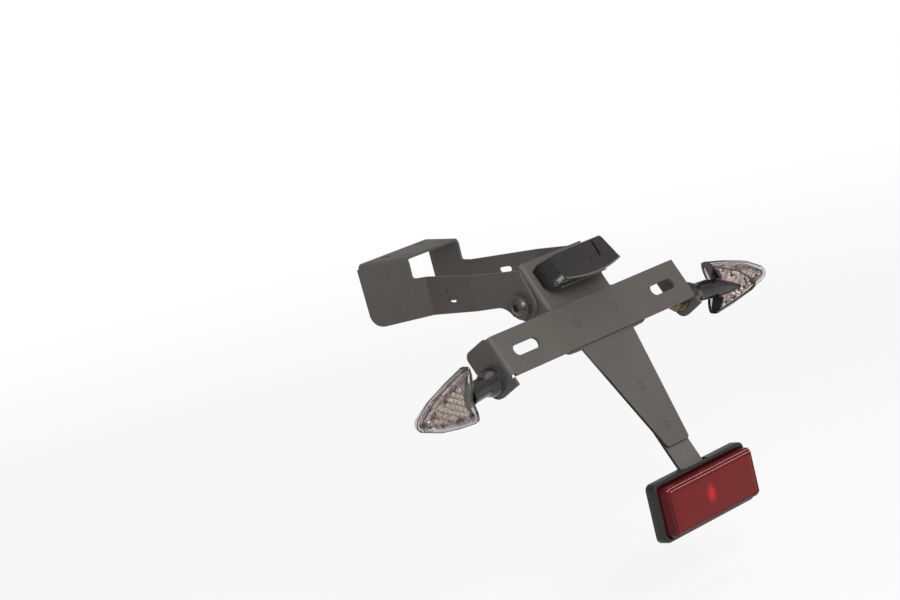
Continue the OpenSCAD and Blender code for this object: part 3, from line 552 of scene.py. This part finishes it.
# %% Frames
PIVOT = (0.0, -123.0, -40.0)
PLATE_TILT, PIVOT_UP, PIVOT_DEEP = 28.0, 15.6, 18.4
EAR_X, EAR_DOWN, EAR_DEEP = 101.26, 24.4, 14.4
SWEEP, DROOP, LEAN, BARB_AT = 5.2, 3.2, 5.0, 25.9
LEFT_DROOP = 2.2                # the left one hangs a little lower in the photograph
LENS_BACK, LENS_DOWN, REFLECTOR_RISE = 98.6, 145.3, 0.6
HOOD_UP, HOOD_OUT, HOOD_TILT = 30.5, 20.0, 8.0


def shift(x, y, z):
    return Matrix.Translation((x, y, z))


def turned(axis, degrees):
    return Matrix.Rotation(math.radians(degrees), 4, axis)


def leaf_frame(s):
    """The frame of an indicator's arrowhead; s is -1 on the left and 1 on the right."""
    at = PLATE @ shift(s * EAR_X, -EAR_DOWN, -EAR_DEEP) @ turned("X", PLATE_TILT - 90)
    at = at @ turned("Z", 0 if s > 0 else 180) @ turned("Z", -s * SWEEP)
    at = at @ turned("Y", DROOP) @ turned("X", s * LEAN) @ shift(BARB_AT, 0, 0)
    return at if s > 0 else at @ turned("Y", LEFT_DROOP)


PLATE = (shift(*PIVOT) @ turned("X", 90 - PLATE_TILT)
         @ shift(0, -PIVOT_UP, PIVOT_DEEP))
REFLECTOR = shift(*PIVOT) @ shift(0, -LENS_BACK, REFLECTOR_RISE - LENS_DOWN)
HOOD = PLATE @ shift(0, HOOD_UP, HOOD_OUT) @ turned("X", -HOOD_TILT)
print("reflector frame at", [round(v, 1) for v in REFLECTOR.translation],
      "arrowheads at", [round(v, 1) for s in (-1, 1) for v in leaf_frame(s).translation])

# %% Mesh helpers


def raw_mesh(name, points, faces):
    """A linked object whose mesh is in millimetres, in the piece's own frame."""
    mesh = bpy.data.meshes.new(name)
    mesh.from_pydata(points, [], faces)
    bm = bmesh.new()
    bm.from_mesh(mesh)
    bmesh.ops.recalc_face_normals(bm, faces=bm.faces)
    bm.to_mesh(mesh)
    bm.free()
    obj = bpy.data.objects.new(name, mesh)
    bpy.context.collection.objects.link(obj)
    return obj


def rings_to_faces(count, rings, caps=True):
    faces = []
    for r in range(rings - 1):
        for i in range(count):
            j = (i + 1) % count
            faces.append((r * count + i, r * count + j,
                          (r + 1) * count + j, (r + 1) * count + i))
    if caps:
        faces.append(tuple(range(count))[::-1])
        faces.append(tuple((rings - 1) * count + i for i in range(count)))
    return faces


def prism(name, outline, y0, y1):
    points = [(s, y, z) for y in (y0, y1) for s, z in outline]
    return raw_mesh(name, points, rings_to_faces(len(outline), 2))


def carve(obj, tool, operation="DIFFERENCE"):
    """Cuts, meets or joins obj with a tool shape, and takes the tool away."""
    mod = obj.modifiers.new("carve", "BOOLEAN")
    mod.operation, mod.object, mod.solver = operation, tool, "EXACT"
    graph = bpy.context.evaluated_depsgraph_get()
    mesh = bpy.data.meshes.new_from_object(obj.evaluated_get(graph))
    obj.modifiers.clear()
    obj.data = mesh
    bpy.data.objects.remove(tool)
    return obj


def settle(obj, at, mat, body, replaces=(), angle=32.0):
    """Carries a shaped piece to its place, and gives it finish, shading and body."""
    obj.data.transform(Matrix.Scale(MM, 4) @ at)
    obj.data.materials.clear()
    obj.data.materials.append(mat)
    for poly in obj.data.polygons:
        poly.use_smooth = True
    obj.data.set_sharp_from_angle(angle=math.radians(angle))
    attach(obj, body)
    if replaces:
        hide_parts(*replaces)
    return obj


def copy_of(obj, name):
    twin = bpy.data.objects.new(name, obj.data.copy())
    bpy.context.collection.objects.link(twin)
    return twin


def bead(name, path, radius, at, mat, body, closed=False, sides=8):
    """A round bead that follows a path of points."""
    path = [Vector(p) for p in path]
    count = len(path)
    points = []
    normal = None
    for i, p in enumerate(path):
        before = path[i - 1] if (i > 0 or closed) else p
        after = path[(i + 1) % count] if (i < count - 1 or closed) else p
        ahead = (after - before).normalized()
        if normal is None:
            normal = ahead.orthogonal()
        normal = (normal - ahead * normal.dot(ahead)).normalized()
        side = ahead.cross(normal)
        for k in range(sides):
            a = 2 * math.pi * k / sides
            points.append(p + (normal * math.cos(a) + side * math.sin(a)) * radius)
    faces = rings_to_faces(sides, count, caps=not closed)
    if closed:
        last = (count - 1) * sides
        faces += [(last + i, last + (i + 1) % sides, (i + 1) % sides, i)
                  for i in range(sides)]
    return settle(raw_mesh(name, points, faces), at, mat, body, angle=60.0)


print("mesh helpers", [f.__name__ for f in (raw_mesh, prism, carve, settle, copy_of, bead)])

# %% [markdown]
# ## The indicators' arrowheads
# Each arrowhead is a clear, cushioned shell in the shape of a leaf. Its outline is the
# hull of a few circles: two small ones past the barbs, two large ones along the belly and
# one at the tip. Rings that shrink towards a spine and rise as they shrink make the
# cushion. A subdivided cage could make it too, but smoothing shrinks a cage's outline,
# and rings keep it. A solid cut from a slightly larger solid leaves a shell, and a window
# is cut through one face, round the black spear of the stalk.

# %% Leaf shape
LEAF_CIRCLES = ((-9.0, 19.2, 1.5), (-9.0, -19.4, 1.6), (20.0, 0.3, 15.6),
                (38.0, 0.6, 11.4), (54.0, 0.4, 5.0))
SPINE = (Vector((2.0, 0.0)), Vector((50.0, 0.6)))
LEAF_POINTS, CIRCLE_POINTS = 150, 72
NOTCH_UPPER, NOTCH_MIDDLE, NOTCH_LOWER, NOTCH_HALF = 1.4, 11.0, 4.0, 19.0
HALF_T, EDGE_T = 7.5, 2.2
CUSHION = (0.15, 0.32, 0.48, 0.62, 0.74, 0.83, 0.90, 0.95, 0.985, 1.0)
SKIN = 1.5


def even_points(loop, count):
    """Points at even steps round a closed outline."""
    loop = [Vector(p) for p in loop]
    steps = [(loop[(i + 1) % len(loop)] - p).length for i, p in enumerate(loop)]
    total, made, i, gone = sum(steps), [], 0, 0.0
    for n in range(count):
        want = total * n / count
        while gone + steps[i] < want:
            gone += steps[i]
            i += 1
        part = (want - gone) / steps[i]
        made.append(loop[i].lerp(loop[(i + 1) % len(loop)], part))
    return made


def leaf_outline():
    cloud = []
    for s, z, r in LEAF_CIRCLES:
        for i in range(CIRCLE_POINTS):
            a = 2 * math.pi * i / CIRCLE_POINTS
            cloud.append(Vector((s + r * math.cos(a), z + r * math.sin(a))))
    hull = [cloud[i] for i in convex_hull_2d(cloud)]
    return even_points(hull, LEAF_POINTS)


LEAF = leaf_outline()


def spine_point(p):
    a, b = SPINE
    t = (p - a).dot(b - a) / (b - a).length_squared
    return a.lerp(b, min(1.0, max(0.0, t)))


def cushion_rise(k, half, edge):
    return edge + (half - edge) * (1 - k ** 3) ** 0.6


def leaf_ring(k, y, inset=0.0):
    ring = []
    for p in LEAF:
        c = spine_point(p)
        arm = p - c
        q = c + arm * (k * max(0.05, arm.length - inset) / arm.length)
        ring.append((q.x, y, q.y))
    return ring


def leaf_solid(name, skin=0.0):
    half, edge = HALF_T - skin, EDGE_T - 0.6 * skin
    points = []
    for k in CUSHION:
        points += leaf_ring(k, cushion_rise(k, half, edge), skin)
    for k in reversed(CUSHION):
        points += leaf_ring(k, -cushion_rise(k, half, edge), skin)
    return raw_mesh(name, points, rings_to_faces(LEAF_POINTS, 2 * len(CUSHION)))


def arc2d(cx, cy, r, start, end, count=8):
    return [(cx + r * math.cos(math.radians(start + (end - start) * i / count)),
             cy + r * math.sin(math.radians(start + (end - start) * i / count)))
            for i in range(count + 1)]


WINDOW_TOP, WINDOW_LOW = (27.0, 8.0), (30.0, -11.1)
WINDOW_TIP = arc2d(39.5, -5.1, 3.8, 70, -80)
WINDOW = [(-20.0, 22.5), (0.0, 16.9), WINDOW_TOP, *WINDOW_TIP, WINDOW_LOW, (0.0, -17.6),
          (-20.0, -21.0)]
print("leaf outline", len(LEAF), "points; reach", round(max(p.x for p in LEAF), 1), "mm")

# %% Leaf shells and fishtails
WALL_THICK, WALL_SIDE = 1.5, 2.6
FLOOR_FROM, FLOOR_TO = -2.2, -0.7
FLOOR_OUTLINE = [(2, 15.4), (13, 11.2), (15, 6), (14, -4), (11, -13.6), (2, -16.6)]
SPEAR_GAP = [(-5, -7.6), (30, -7.6), (30, 6.6), (-5, 6.6)]
FAR = 30                        # beyond the edge that a cutting shape passes


def notch_at(z):
    end = NOTCH_UPPER if z > 0 else NOTCH_LOWER
    return end + (NOTCH_MIDDLE - end) * max(0.0, 1 - abs(z) / NOTCH_HALF)


def notch_prism(name, past, y0=-FAR, y1=FAR):
    """Everything beyond the V that the inner end is cut to, moved outwards by past."""
    return prism(name, [(-FAR, -FAR), (notch_at(-FAR) + past, -FAR),
                        (notch_at(-NOTCH_HALF) + past, -NOTCH_HALF),
                        (NOTCH_MIDDLE + past, 0), (notch_at(NOTCH_HALF) + past, NOTCH_HALF),
                        (notch_at(FAR) + past, FAR), (-FAR, FAR)], y0, y1)


def make_shell():
    shell = leaf_solid("shell")
    carve(shell, notch_prism("end", 0.0))
    carve(shell, carve(leaf_solid("space", SKIN), notch_prism("end", SKIN)))
    carve(shell, prism("window", WINDOW, -20.0, 0.0))
    return carve(shell, notch_prism("seat", WALL_THICK, -FAR, WALL_SIDE))


def make_fishtail():
    """The black end that closes the shell, and the floor under the stalk's spear."""
    floor = prism("floor", FLOOR_OUTLINE, FLOOR_FROM, FLOOR_TO)
    carve(floor, notch_prism("end", 0.3))
    wall = leaf_solid("wall", 0.05)
    carve(wall, notch_prism("within", WALL_THICK, -FAR, WALL_SIDE), "INTERSECT")
    carve(wall, notch_prism("end", 0.0))
    carve(wall, prism("spear_gap", SPEAR_GAP, -20.0, -0.6))
    return carve(wall, floor, "UNION")


shell_shape, tail_shape = make_shell(), make_fishtail()
for side, s in (("left", -1), ("right", 1)):
    settle(copy_of(shell_shape, "arrow_shell_" + side), leaf_frame(s), smoky_lens,
           "carrier", ["indicator_lens_" + side])
    settle(copy_of(tail_shape, "arrow_fishtail_" + side), leaf_frame(s), gloss_black,
           "carrier", ["indicator_housing_" + side])
print("shell faces", len(shell_shape.data.polygons))
for shape in (shell_shape, tail_shape):
    bpy.data.objects.remove(shape)

# %% [markdown]
# ## Inside the arrowheads
# A plated bowl fills each shell, open to both faces, and carries a honeycomb of small
# cream cells. Their layout is free, because the photograph is blurred there. A dark bead
# runs round the window in the shell, and two run along the rim, one near each face.
# A texture could draw the cells, but only real ones shift behind a clear lens.

# %% Bowls, cells and window beads
BOWL_INSET = 2.6
BOWL = ((0.2, 2.1), (0.72, 2.1), (0.86, 2.7), (0.98, 3.5), (1.0, 3.6),
        (1.0, -2.8), (0.98, -2.7), (0.86, -1.3), (0.72, -0.5), (0.2, -0.5))
CELL_R, CELL_PITCH, CELL_ROW = 1.8, 4.2, 0.866
CELL_EDGE = 6.4                 # how far a cell's middle stays from the leaf's outline
RIM_LINE_IN, RIM_LINE_R, WINDOW_BEAD_R = 0.6, 0.42, 0.5
dark_line_grey = finish_material("dark_line_grey", (0.022, 0.021, 0.020), (0.05, 0.05, 0.05), 0.25,
                            0.40, 700.0, 0.05)


def past_notch(p):
    """Whether a point of the rim lies beyond the V of the inner end."""
    return p[0] >= notch_at(p[2]) + RIM_LINE_IN


def rim_line_path(y):
    """A line on the rim, from one barb round the tip to the other."""
    rim = leaf_ring(1.0, y)
    start = next(i for i, p in enumerate(rim)
                 if not past_notch(p) and past_notch(rim[(i + 1) % len(rim)]))
    return [p for p in rim[start + 1:] + rim[:start + 1] if past_notch(p)]


def make_bowl():
    points = []
    for k, y in BOWL:
        points += leaf_ring(k, y, BOWL_INSET)
    bowl = raw_mesh("bowl", points, rings_to_faces(LEAF_POINTS, len(BOWL)))
    return carve(bowl, notch_prism("inner", 3.2))


def inside_leaf(s, z):
    """Even-odd test against the leaf's outline."""
    inside = False
    for i, a in enumerate(LEAF):
        b = LEAF[(i + 1) % len(LEAF)]
        if (a.y > z) != (b.y > z) and s < a.x + (z - a.y) * (b.x - a.x) / (b.y - a.y):
            inside = not inside
    return inside


def cell_places(s0, s1):
    for i in range(12):
        s = 10.0 + i * CELL_PITCH * CELL_ROW
        for j in range(-5, 6):
            z = (j + 0.5 * (i % 2)) * CELL_PITCH
            away = min((Vector((s, z)) - p).length for p in LEAF)
            if s0 < s < s1 and away > CELL_EDGE and inside_leaf(s, z):
                yield s, z


def make_cells(name, places, base, top):
    """Six-sided cells with domed tops, standing from base towards top."""
    points, faces = [], []
    for s, z in places:
        start = len(points)
        for r, part in ((1.0, 0.0), (1.0, 0.55), (0.78, 0.85), (0.4, 1.0)):
            for k in range(6):
                a = math.radians(60 * k)
                points.append((s + CELL_R * r * math.cos(a), base + (top - base) * part,
                               z + CELL_R * r * math.sin(a)))
        faces += [tuple(start + v for v in f) for f in rings_to_faces(6, 4)]
    return raw_mesh(name, points, faces)


def window_path():
    """The window's edge on the shell's outer face."""
    corners = [Vector(p) for p in ((2.6, 16.2), WINDOW_TOP, *WINDOW_TIP, WINDOW_LOW,
                                   (4.0, -16.9))]
    flat = []
    for a, b in zip(corners, corners[1:]):
        count = max(1, int((b - a).length / 1.5))
        flat += [a.lerp(b, i / count) for i in range(count)]
    flat.append(corners[-1])
    path = []
    for p in flat:
        c = spine_point(p)
        reach = min(((q - c).length for q in LEAF
                     if (q - c).angle(p - c, 0.0) < 0.12), default=15.0)
        k = min(1.0, (p - c).length / reach)
        path.append((p.x, -cushion_rise(k, HALF_T, EDGE_T), p.y))
    return path


bowl_shape = make_bowl()
near_cells = list(cell_places(16.0, 45.0))
far_cells = [p for p in cell_places(28.0, 52.0)
             if p[0] > 44.5 or p[1] > 16.0 - 0.38 * p[0]]
for side, s in (("left", -1), ("right", 1)):
    at = leaf_frame(s)
    settle(copy_of(bowl_shape, "arrow_bowl_" + side), at, mirror_finish, "carrier",
           ["indicator_mirror_" + side, "indicator_board_" + side], 20.0)
    settle(make_cells("front_cells_" + side, near_cells, 2.1, 4.4), at, led_cream,
           "carrier", angle=20.0)
    settle(make_cells("back_cells_" + side, far_cells, -0.5, -3.0), at, led_cream,
           "carrier", angle=20.0)
    bead("window_bead_" + side, window_path(), WINDOW_BEAD_R, at, dark_line_grey, "carrier")
    # Two dark lines along the rim, one near each face
    for face, y in (("front", EDGE_T), ("back", -EDGE_T)):
        bead("arrow_rim_line_%s_%s" % (face, side), rim_line_path(y), RIM_LINE_R, at, dark_line_grey,
             "carrier")
bpy.data.objects.remove(bowl_shape)
print("cells on each face", len(near_cells), len(far_cells))

# %% [markdown]
# ## The reflector's housing
# The red lens sits in a black tray that stands a little proud all round. The tray is a
# stack of rounded rectangles, with soft edges front and back and a hollow behind, and the
# strip enters through a slot in its upper wall. A bevelled box could stand for it, but a
# stack gives each edge its own radius. The lens is a second stack, with two fine ridges.
# Their bright line in the photograph is a painted highlight: they are lighter where they face
# up.

# %% Reflector housing
TRAY_HALF_W, TRAY_HALF_H, TRAY_R = 49.5, 20.3, 4.5
TRAY_FRONT, TRAY_BACK = 8.9, 17.7
SLOT_HALF_W, SLOT_FROM = 13.2, 10.9


def rounded_loop(half_w, half_h, r):
    loop = []
    for cx, cz, start in ((half_w - r, half_h - r, 0), (r - half_w, half_h - r, 90),
                          (r - half_w, r - half_h, 180), (half_w - r, r - half_h, 270)):
        loop += arc2d(cx, cz, r, start, start + 90, 7)
    return loop


def rounded_stack(name, half_w, half_h, r, least_r, sections):
    """A solid of rounded rectangles, one for each inset and depth in sections."""
    points, count = [], 0
    for inset, y in sections:
        loop = rounded_loop(half_w - inset, half_h - inset, max(least_r, r - inset))
        count = len(loop)
        points += [(x, y, z) for x, z in loop]
    return raw_mesh(name, points, rings_to_faces(count, len(sections)))


def make_tray():
    sections = ((3.4, 10.6), (2.6, 10.2), (2.5, TRAY_FRONT + 0.2), (2.0, TRAY_FRONT),
                (0.9, TRAY_FRONT + 0.1), (0.25, TRAY_FRONT + 0.5), (0.0, TRAY_FRONT + 1.2),
                (0.0, TRAY_BACK - 0.9), (0.3, TRAY_BACK - 0.3), (0.9, TRAY_BACK),
                (2.0, TRAY_BACK), (2.1, TRAY_BACK - 0.4), (2.2, 12.2))
    tray = rounded_stack("reflector_tray", TRAY_HALF_W, TRAY_HALF_H, TRAY_R, 1.0, sections)
    slot = prism("slot", [(-SLOT_HALF_W, 0), (SLOT_HALF_W, 0), (SLOT_HALF_W, FAR),
                          (-SLOT_HALF_W, FAR)], SLOT_FROM, FAR)
    return carve(tray, slot)


tray = settle(make_tray(), REFLECTOR, moulded_black, "carrier", ["reflector_base"])
print("tray faces", len(tray.data.polygons))

# %% Reflector lens
GLASS_HALF_W, GLASS_HALF_H, GLASS_R, GLASS_LEAST_R = 47.0, 16.9, 3.4, 0.7
RIDGES, RIDGE_R = ((1.25, 1.95), (2.75, 0.38)), 0.34
RIDGE_FADE = 12.0               # height over which the ridges' light upper side fades in
RIDGE_LEVEL, RIDGE_UP = 0.15, 0.65      # upward part of a normal where it starts, is full
RIDGE_RED, RIDGE_HIGHLIGHT = (0.085, 0.004, 0.006), (0.72, 0.30, 0.24)


def make_lens():
    sections = ((4.0, 10.4), (0.0, 10.4), (0.0, 3.4), (0.05, 3.0), (0.45, 2.55),
                (0.95, 2.4), (1.1, 2.2), (2.3, 0.75), (2.5, 0.45), (2.9, 0.3),
                (3.4, 0.55), (4.0, 0.35), (7.0, 0.2), (12.0, 0.1))
    return rounded_stack("reflector_glass", GLASS_HALF_W, GLASS_HALF_H, GLASS_R,
                         GLASS_LEAST_R, sections)


def ridge_material():
    """Red plastic with a painted highlight where it faces up."""
    mat, tree, shader = new_material("lens_ridge", (0.10, 0.01, 0.01), Roughness=0.25)
    face = add(tree, "ShaderNodeNewGeometry")
    axes = add(tree, "ShaderNodeSeparateXYZ", {"Vector": face.outputs["Normal"]})
    up = add(tree, "ShaderNodeMapRange", {"Value": axes.outputs["Z"]},
             interpolation_type="SMOOTHSTEP")
    up.inputs["From Min"].default_value = RIDGE_LEVEL
    up.inputs["From Max"].default_value = RIDGE_UP
    place = add(tree, "ShaderNodeTexCoord")
    spot = add(tree, "ShaderNodeSeparateXYZ", {"Vector": place.outputs["Object"]})
    high = add(tree, "ShaderNodeMapRange", {"Value": spot.outputs["Z"]})
    high.inputs["From Min"].default_value = REFLECTOR.translation.z * MM
    high.inputs["From Max"].default_value = (REFLECTOR.translation.z + RIDGE_FADE) * MM
    lit = add(tree, "ShaderNodeMath", {0: up.outputs["Result"], 1: high.outputs["Result"]},
              operation="MULTIPLY")
    tone = mix_colours(tree, lit.outputs["Value"], RIDGE_RED, RIDGE_HIGHLIGHT)
    tree.links.new(tone, shader.inputs["Base Color"])
    return mat


lens_ridge = ridge_material()
lens = settle(make_lens(), REFLECTOR, reflector_red, "carrier", ["reflector_lens"])
for number, (inset, y) in enumerate(RIDGES):
    loop = rounded_loop(GLASS_HALF_W - inset, GLASS_HALF_H - inset,
                        max(GLASS_LEAST_R, GLASS_R - inset))
    bead("lens_ridge_%d" % (number + 1), [(x, y, z) for x, z in loop], RIDGE_R, REFLECTOR,
         lens_ridge, "carrier", closed=True)
print("lens faces", len(lens.data.polygons))

# %% [markdown]
# ## Small trim
# A rounded lip runs along the lower edge of the lamp's hood, a fluted bright band stands
# behind the lamp's window, and a faint ring shows where each stud was pressed into the
# sheet. Bump alone would give them no outline, so they are thin beads and one bent strip.
# The lip and the window's rim are written lighter than the hood, a painted highlight for
# the light that they catch in the photograph.

# %% Lamp trim
LIP_R, LIP_HALF, LIP_LOW, LIP_ARC, LIP_STEPS = 0.7, 28.2, 23.9, 107.0, 24
FLUTE_DEEP, FLUTE_PITCH, FLUTE_STEP = 0.42, 2.1, 0.35
FLUTE_BACK, FLUTE_FRONT = 8.2, 19.6
RIM_LOW, RIM_OUT, RIM_R = 9.0, 10.6, 0.45


def lip_path():
    centre = LIP_ARC - LIP_LOW
    path = []
    for i in range(LIP_STEPS + 1):
        x = -LIP_HALF + 2 * LIP_HALF * i / LIP_STEPS
        path.append((x, centre - math.sqrt(LIP_ARC ** 2 - x * x) - 0.1, -0.55))
    return path


def flute_path():
    """The band behind the window, seen from the hood: down, across and up again."""
    corners = [(-24.0, 15.8), (-24.0, 14.2), *arc2d(-21.6, 14.2, 2.4, 180, 270),
               (21.6, 11.8), *arc2d(21.6, 14.2, 2.4, 270, 360), (24.0, 15.8)]
    corners = [Vector(c) for c in corners]
    made = []
    for a, b in zip(corners, corners[1:]):
        count = max(1, round((b - a).length / FLUTE_STEP))
        made += [a.lerp(b, i / count) for i in range(count)]
    return made + [corners[-1]]


def make_flutes():
    path = flute_path()
    points, along = [], 0.0
    for i, p in enumerate(path):
        a, b = path[max(0, i - 1)], path[min(len(path) - 1, i + 1)]
        way = (b - a).normalized()
        out = Vector((way.y, -way.x))
        along += (p - a).length
        q = p - out * (FLUTE_DEEP * math.cos(2 * math.pi * along / FLUTE_PITCH) + 0.5)
        points += [(q.x, q.y, FLUTE_BACK), (q.x, q.y, FLUTE_FRONT)]
    faces = [(2 * i, 2 * i + 2, 2 * i + 3, 2 * i + 1) for i in range(len(path) - 1)]
    return raw_mesh("lamp_flutes", points, faces)


lamp_bright = finish_material(
    "lamp_bright", (0.80, 0.76, 0.76), (0.62, 0.56, 0.56), 0.10, 0.22, 900.0, 0.05,
    Metallic=1.0)
lip_painted_sheen = finish_material("lip_painted_sheen", (0.075, 0.072, 0.070), (0.13, 0.125, 0.12), 0.20,
                            0.34, 900.0, 0.05)
# The lip and the window's rim carry a painted highlight: a lighter colour than the hood
bead("hood_lip", lip_path(), LIP_R, HOOD, lip_painted_sheen, "carrier")
bead("window_rim", [(x, RIM_LOW, RIM_OUT) for x in range(-25, 24, 2)], RIM_R, PLATE,
     lip_painted_sheen, "carrier")
flutes = settle(make_flutes(), PLATE, lamp_bright, "carrier", angle=50.0)
print("flute faces", len(flutes.data.polygons))

# %% Press rings
RING_R, RING_BEAD_R = 2.75, 0.16
STUD_RINGS = ((20.7, -14.7, 0.02), (-20.7, -14.7, 0.02), (0.0, -71.6, -1.98),
              (0.0, -103.0, -1.98))
for number, (x, y, z) in enumerate(STUD_RINGS):
    circle = [(x + RING_R * math.cos(math.radians(a)),
               y + RING_R * math.sin(math.radians(a)), z) for a in range(0, 360, 10)]
    bead("press_ring_%d" % (number + 1), circle, RING_BEAD_R, PLATE, powder_coat, "carrier",
         closed=True, sides=6)
print("press rings", len(STUD_RINGS), "of", 2 * RING_R, "mm")

# %% [markdown]
# ## The studio
# The photograph shows the part against plain white. A big pale floor takes the soft
# shadow. Strong lamps could whiten it, but they would bleach the part too, so the world
# is white where the camera or a clear lens sees it, about half as bright in a reflection,
# and dim as a light.

# %% Floor
FLOOR_DROP, FLOOR_R = 0.045, 14.0
FADE_FROM, FADE_TO, FADE_NEAR = 0.6, 2.2, 0.86


def make_floor():
    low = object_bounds()[0].z
    mesh = bpy.data.meshes.new("floor")
    bm = bmesh.new()
    bmesh.ops.create_circle(bm, cap_ends=True, radius=FLOOR_R, segments=96)
    bm.to_mesh(mesh)
    bm.free()
    obj = bpy.data.objects.new("floor", mesh)
    bpy.context.collection.objects.link(obj)
    obj.location = (0, 0, low - FLOOR_DROP)
    mat, tree, shader = new_material("pale_floor", (0.82, 0.82, 0.82), Roughness=0.9)
    out = tree.nodes["Material Output"]
    white = add(tree, "ShaderNodeEmission", Strength=1.0)
    path = add(tree, "ShaderNodeLightPath")
    seen = add(tree, "ShaderNodeMath", {0: path.outputs["Is Camera Ray"],
                                        1: path.outputs["Is Glossy Ray"]},
               operation="MAXIMUM")
    more = add(tree, "ShaderNodeMath", {0: seen.outputs["Value"],
                                        1: path.outputs["Is Transmission Ray"]},
               operation="MAXIMUM")
    # Near the object the floor shows its shadow; far off it fades into the white
    place = add(tree, "ShaderNodeTexCoord")
    reach = add(tree, "ShaderNodeVectorMath", {0: place.outputs["Object"]},
                operation="LENGTH")
    fade = add(tree, "ShaderNodeMapRange", {"Value": reach.outputs["Value"]},
               interpolation_type="SMOOTHSTEP")
    for name, value in (("From Min", FADE_FROM), ("From Max", FADE_TO),
                        ("To Min", FADE_NEAR), ("To Max", 1.0)):
        fade.inputs[name].default_value = value
    part = add(tree, "ShaderNodeMath",
               {0: more.outputs["Value"], 1: fade.outputs["Result"]}, operation="MULTIPLY")
    mix = add(tree, "ShaderNodeMixShader", {"Fac": part.outputs["Value"]})
    tree.links.new(shader.outputs["BSDF"], mix.inputs[1])
    tree.links.new(white.outputs["Emission"], mix.inputs[2])
    tree.links.new(mix.outputs["Shader"], out.inputs["Surface"])
    mesh.materials.append(mat)
    obj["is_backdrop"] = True
    return obj


floor = make_floor()
print("floor at", round(floor.location.z, 4))

# %% World
WORLD_LEVEL, WORLD_SHINE = 0.16, 0.45


def make_world():
    world = bpy.data.worlds.new("studio")
    world.use_nodes = True
    bpy.context.scene.world = world
    tree = world.node_tree
    back = tree.nodes["Background"]
    back.inputs["Color"].default_value = (1.0, 1.0, 1.0, 1.0)
    path = add(tree, "ShaderNodeLightPath")
    seen = add(tree, "ShaderNodeMath", {0: path.outputs["Is Camera Ray"],
                                        1: path.outputs["Is Transmission Ray"]},
               operation="MAXIMUM")
    shine = add(tree, "ShaderNodeMath", {0: path.outputs["Is Glossy Ray"]},
                operation="MULTIPLY")
    shine.inputs[1].default_value = WORLD_SHINE
    more = add(tree, "ShaderNodeMath", {0: seen.outputs["Value"], 1: shine.outputs["Value"]},
               operation="MAXIMUM")
    level = add(tree, "ShaderNodeMapRange", {"Value": more.outputs["Value"]})
    level.inputs["To Min"].default_value = WORLD_LEVEL
    level.inputs["To Max"].default_value = 1.0
    tree.links.new(level.outputs["Result"], back.inputs["Strength"])


make_world()
bpy.context.scene.view_settings.view_transform = "Standard"
print("world lights at", WORLD_LEVEL)

# %% Lamps
LAMPS_AIM = Vector((0.0, -0.10, -0.10))


def softbox(name, at, size, power):
    data = bpy.data.lights.new(name, "AREA")
    data.shape, data.size, data.size_y, data.energy = "RECTANGLE", size[0], size[1], power
    lamp = bpy.data.objects.new(name, data)
    bpy.context.collection.objects.link(lamp)
    lamp.location = at
    aim = LAMPS_AIM - Vector(at)
    lamp.rotation_euler = aim.to_track_quat("-Z", "Y").to_euler()
    return lamp


softbox("key_behind", (-1.0, -2.2, 1.25), (1.5, 1.1), 62.0)
softbox("top_box", (0.3, -0.6, 2.3), (1.6, 1.6), 16.0)
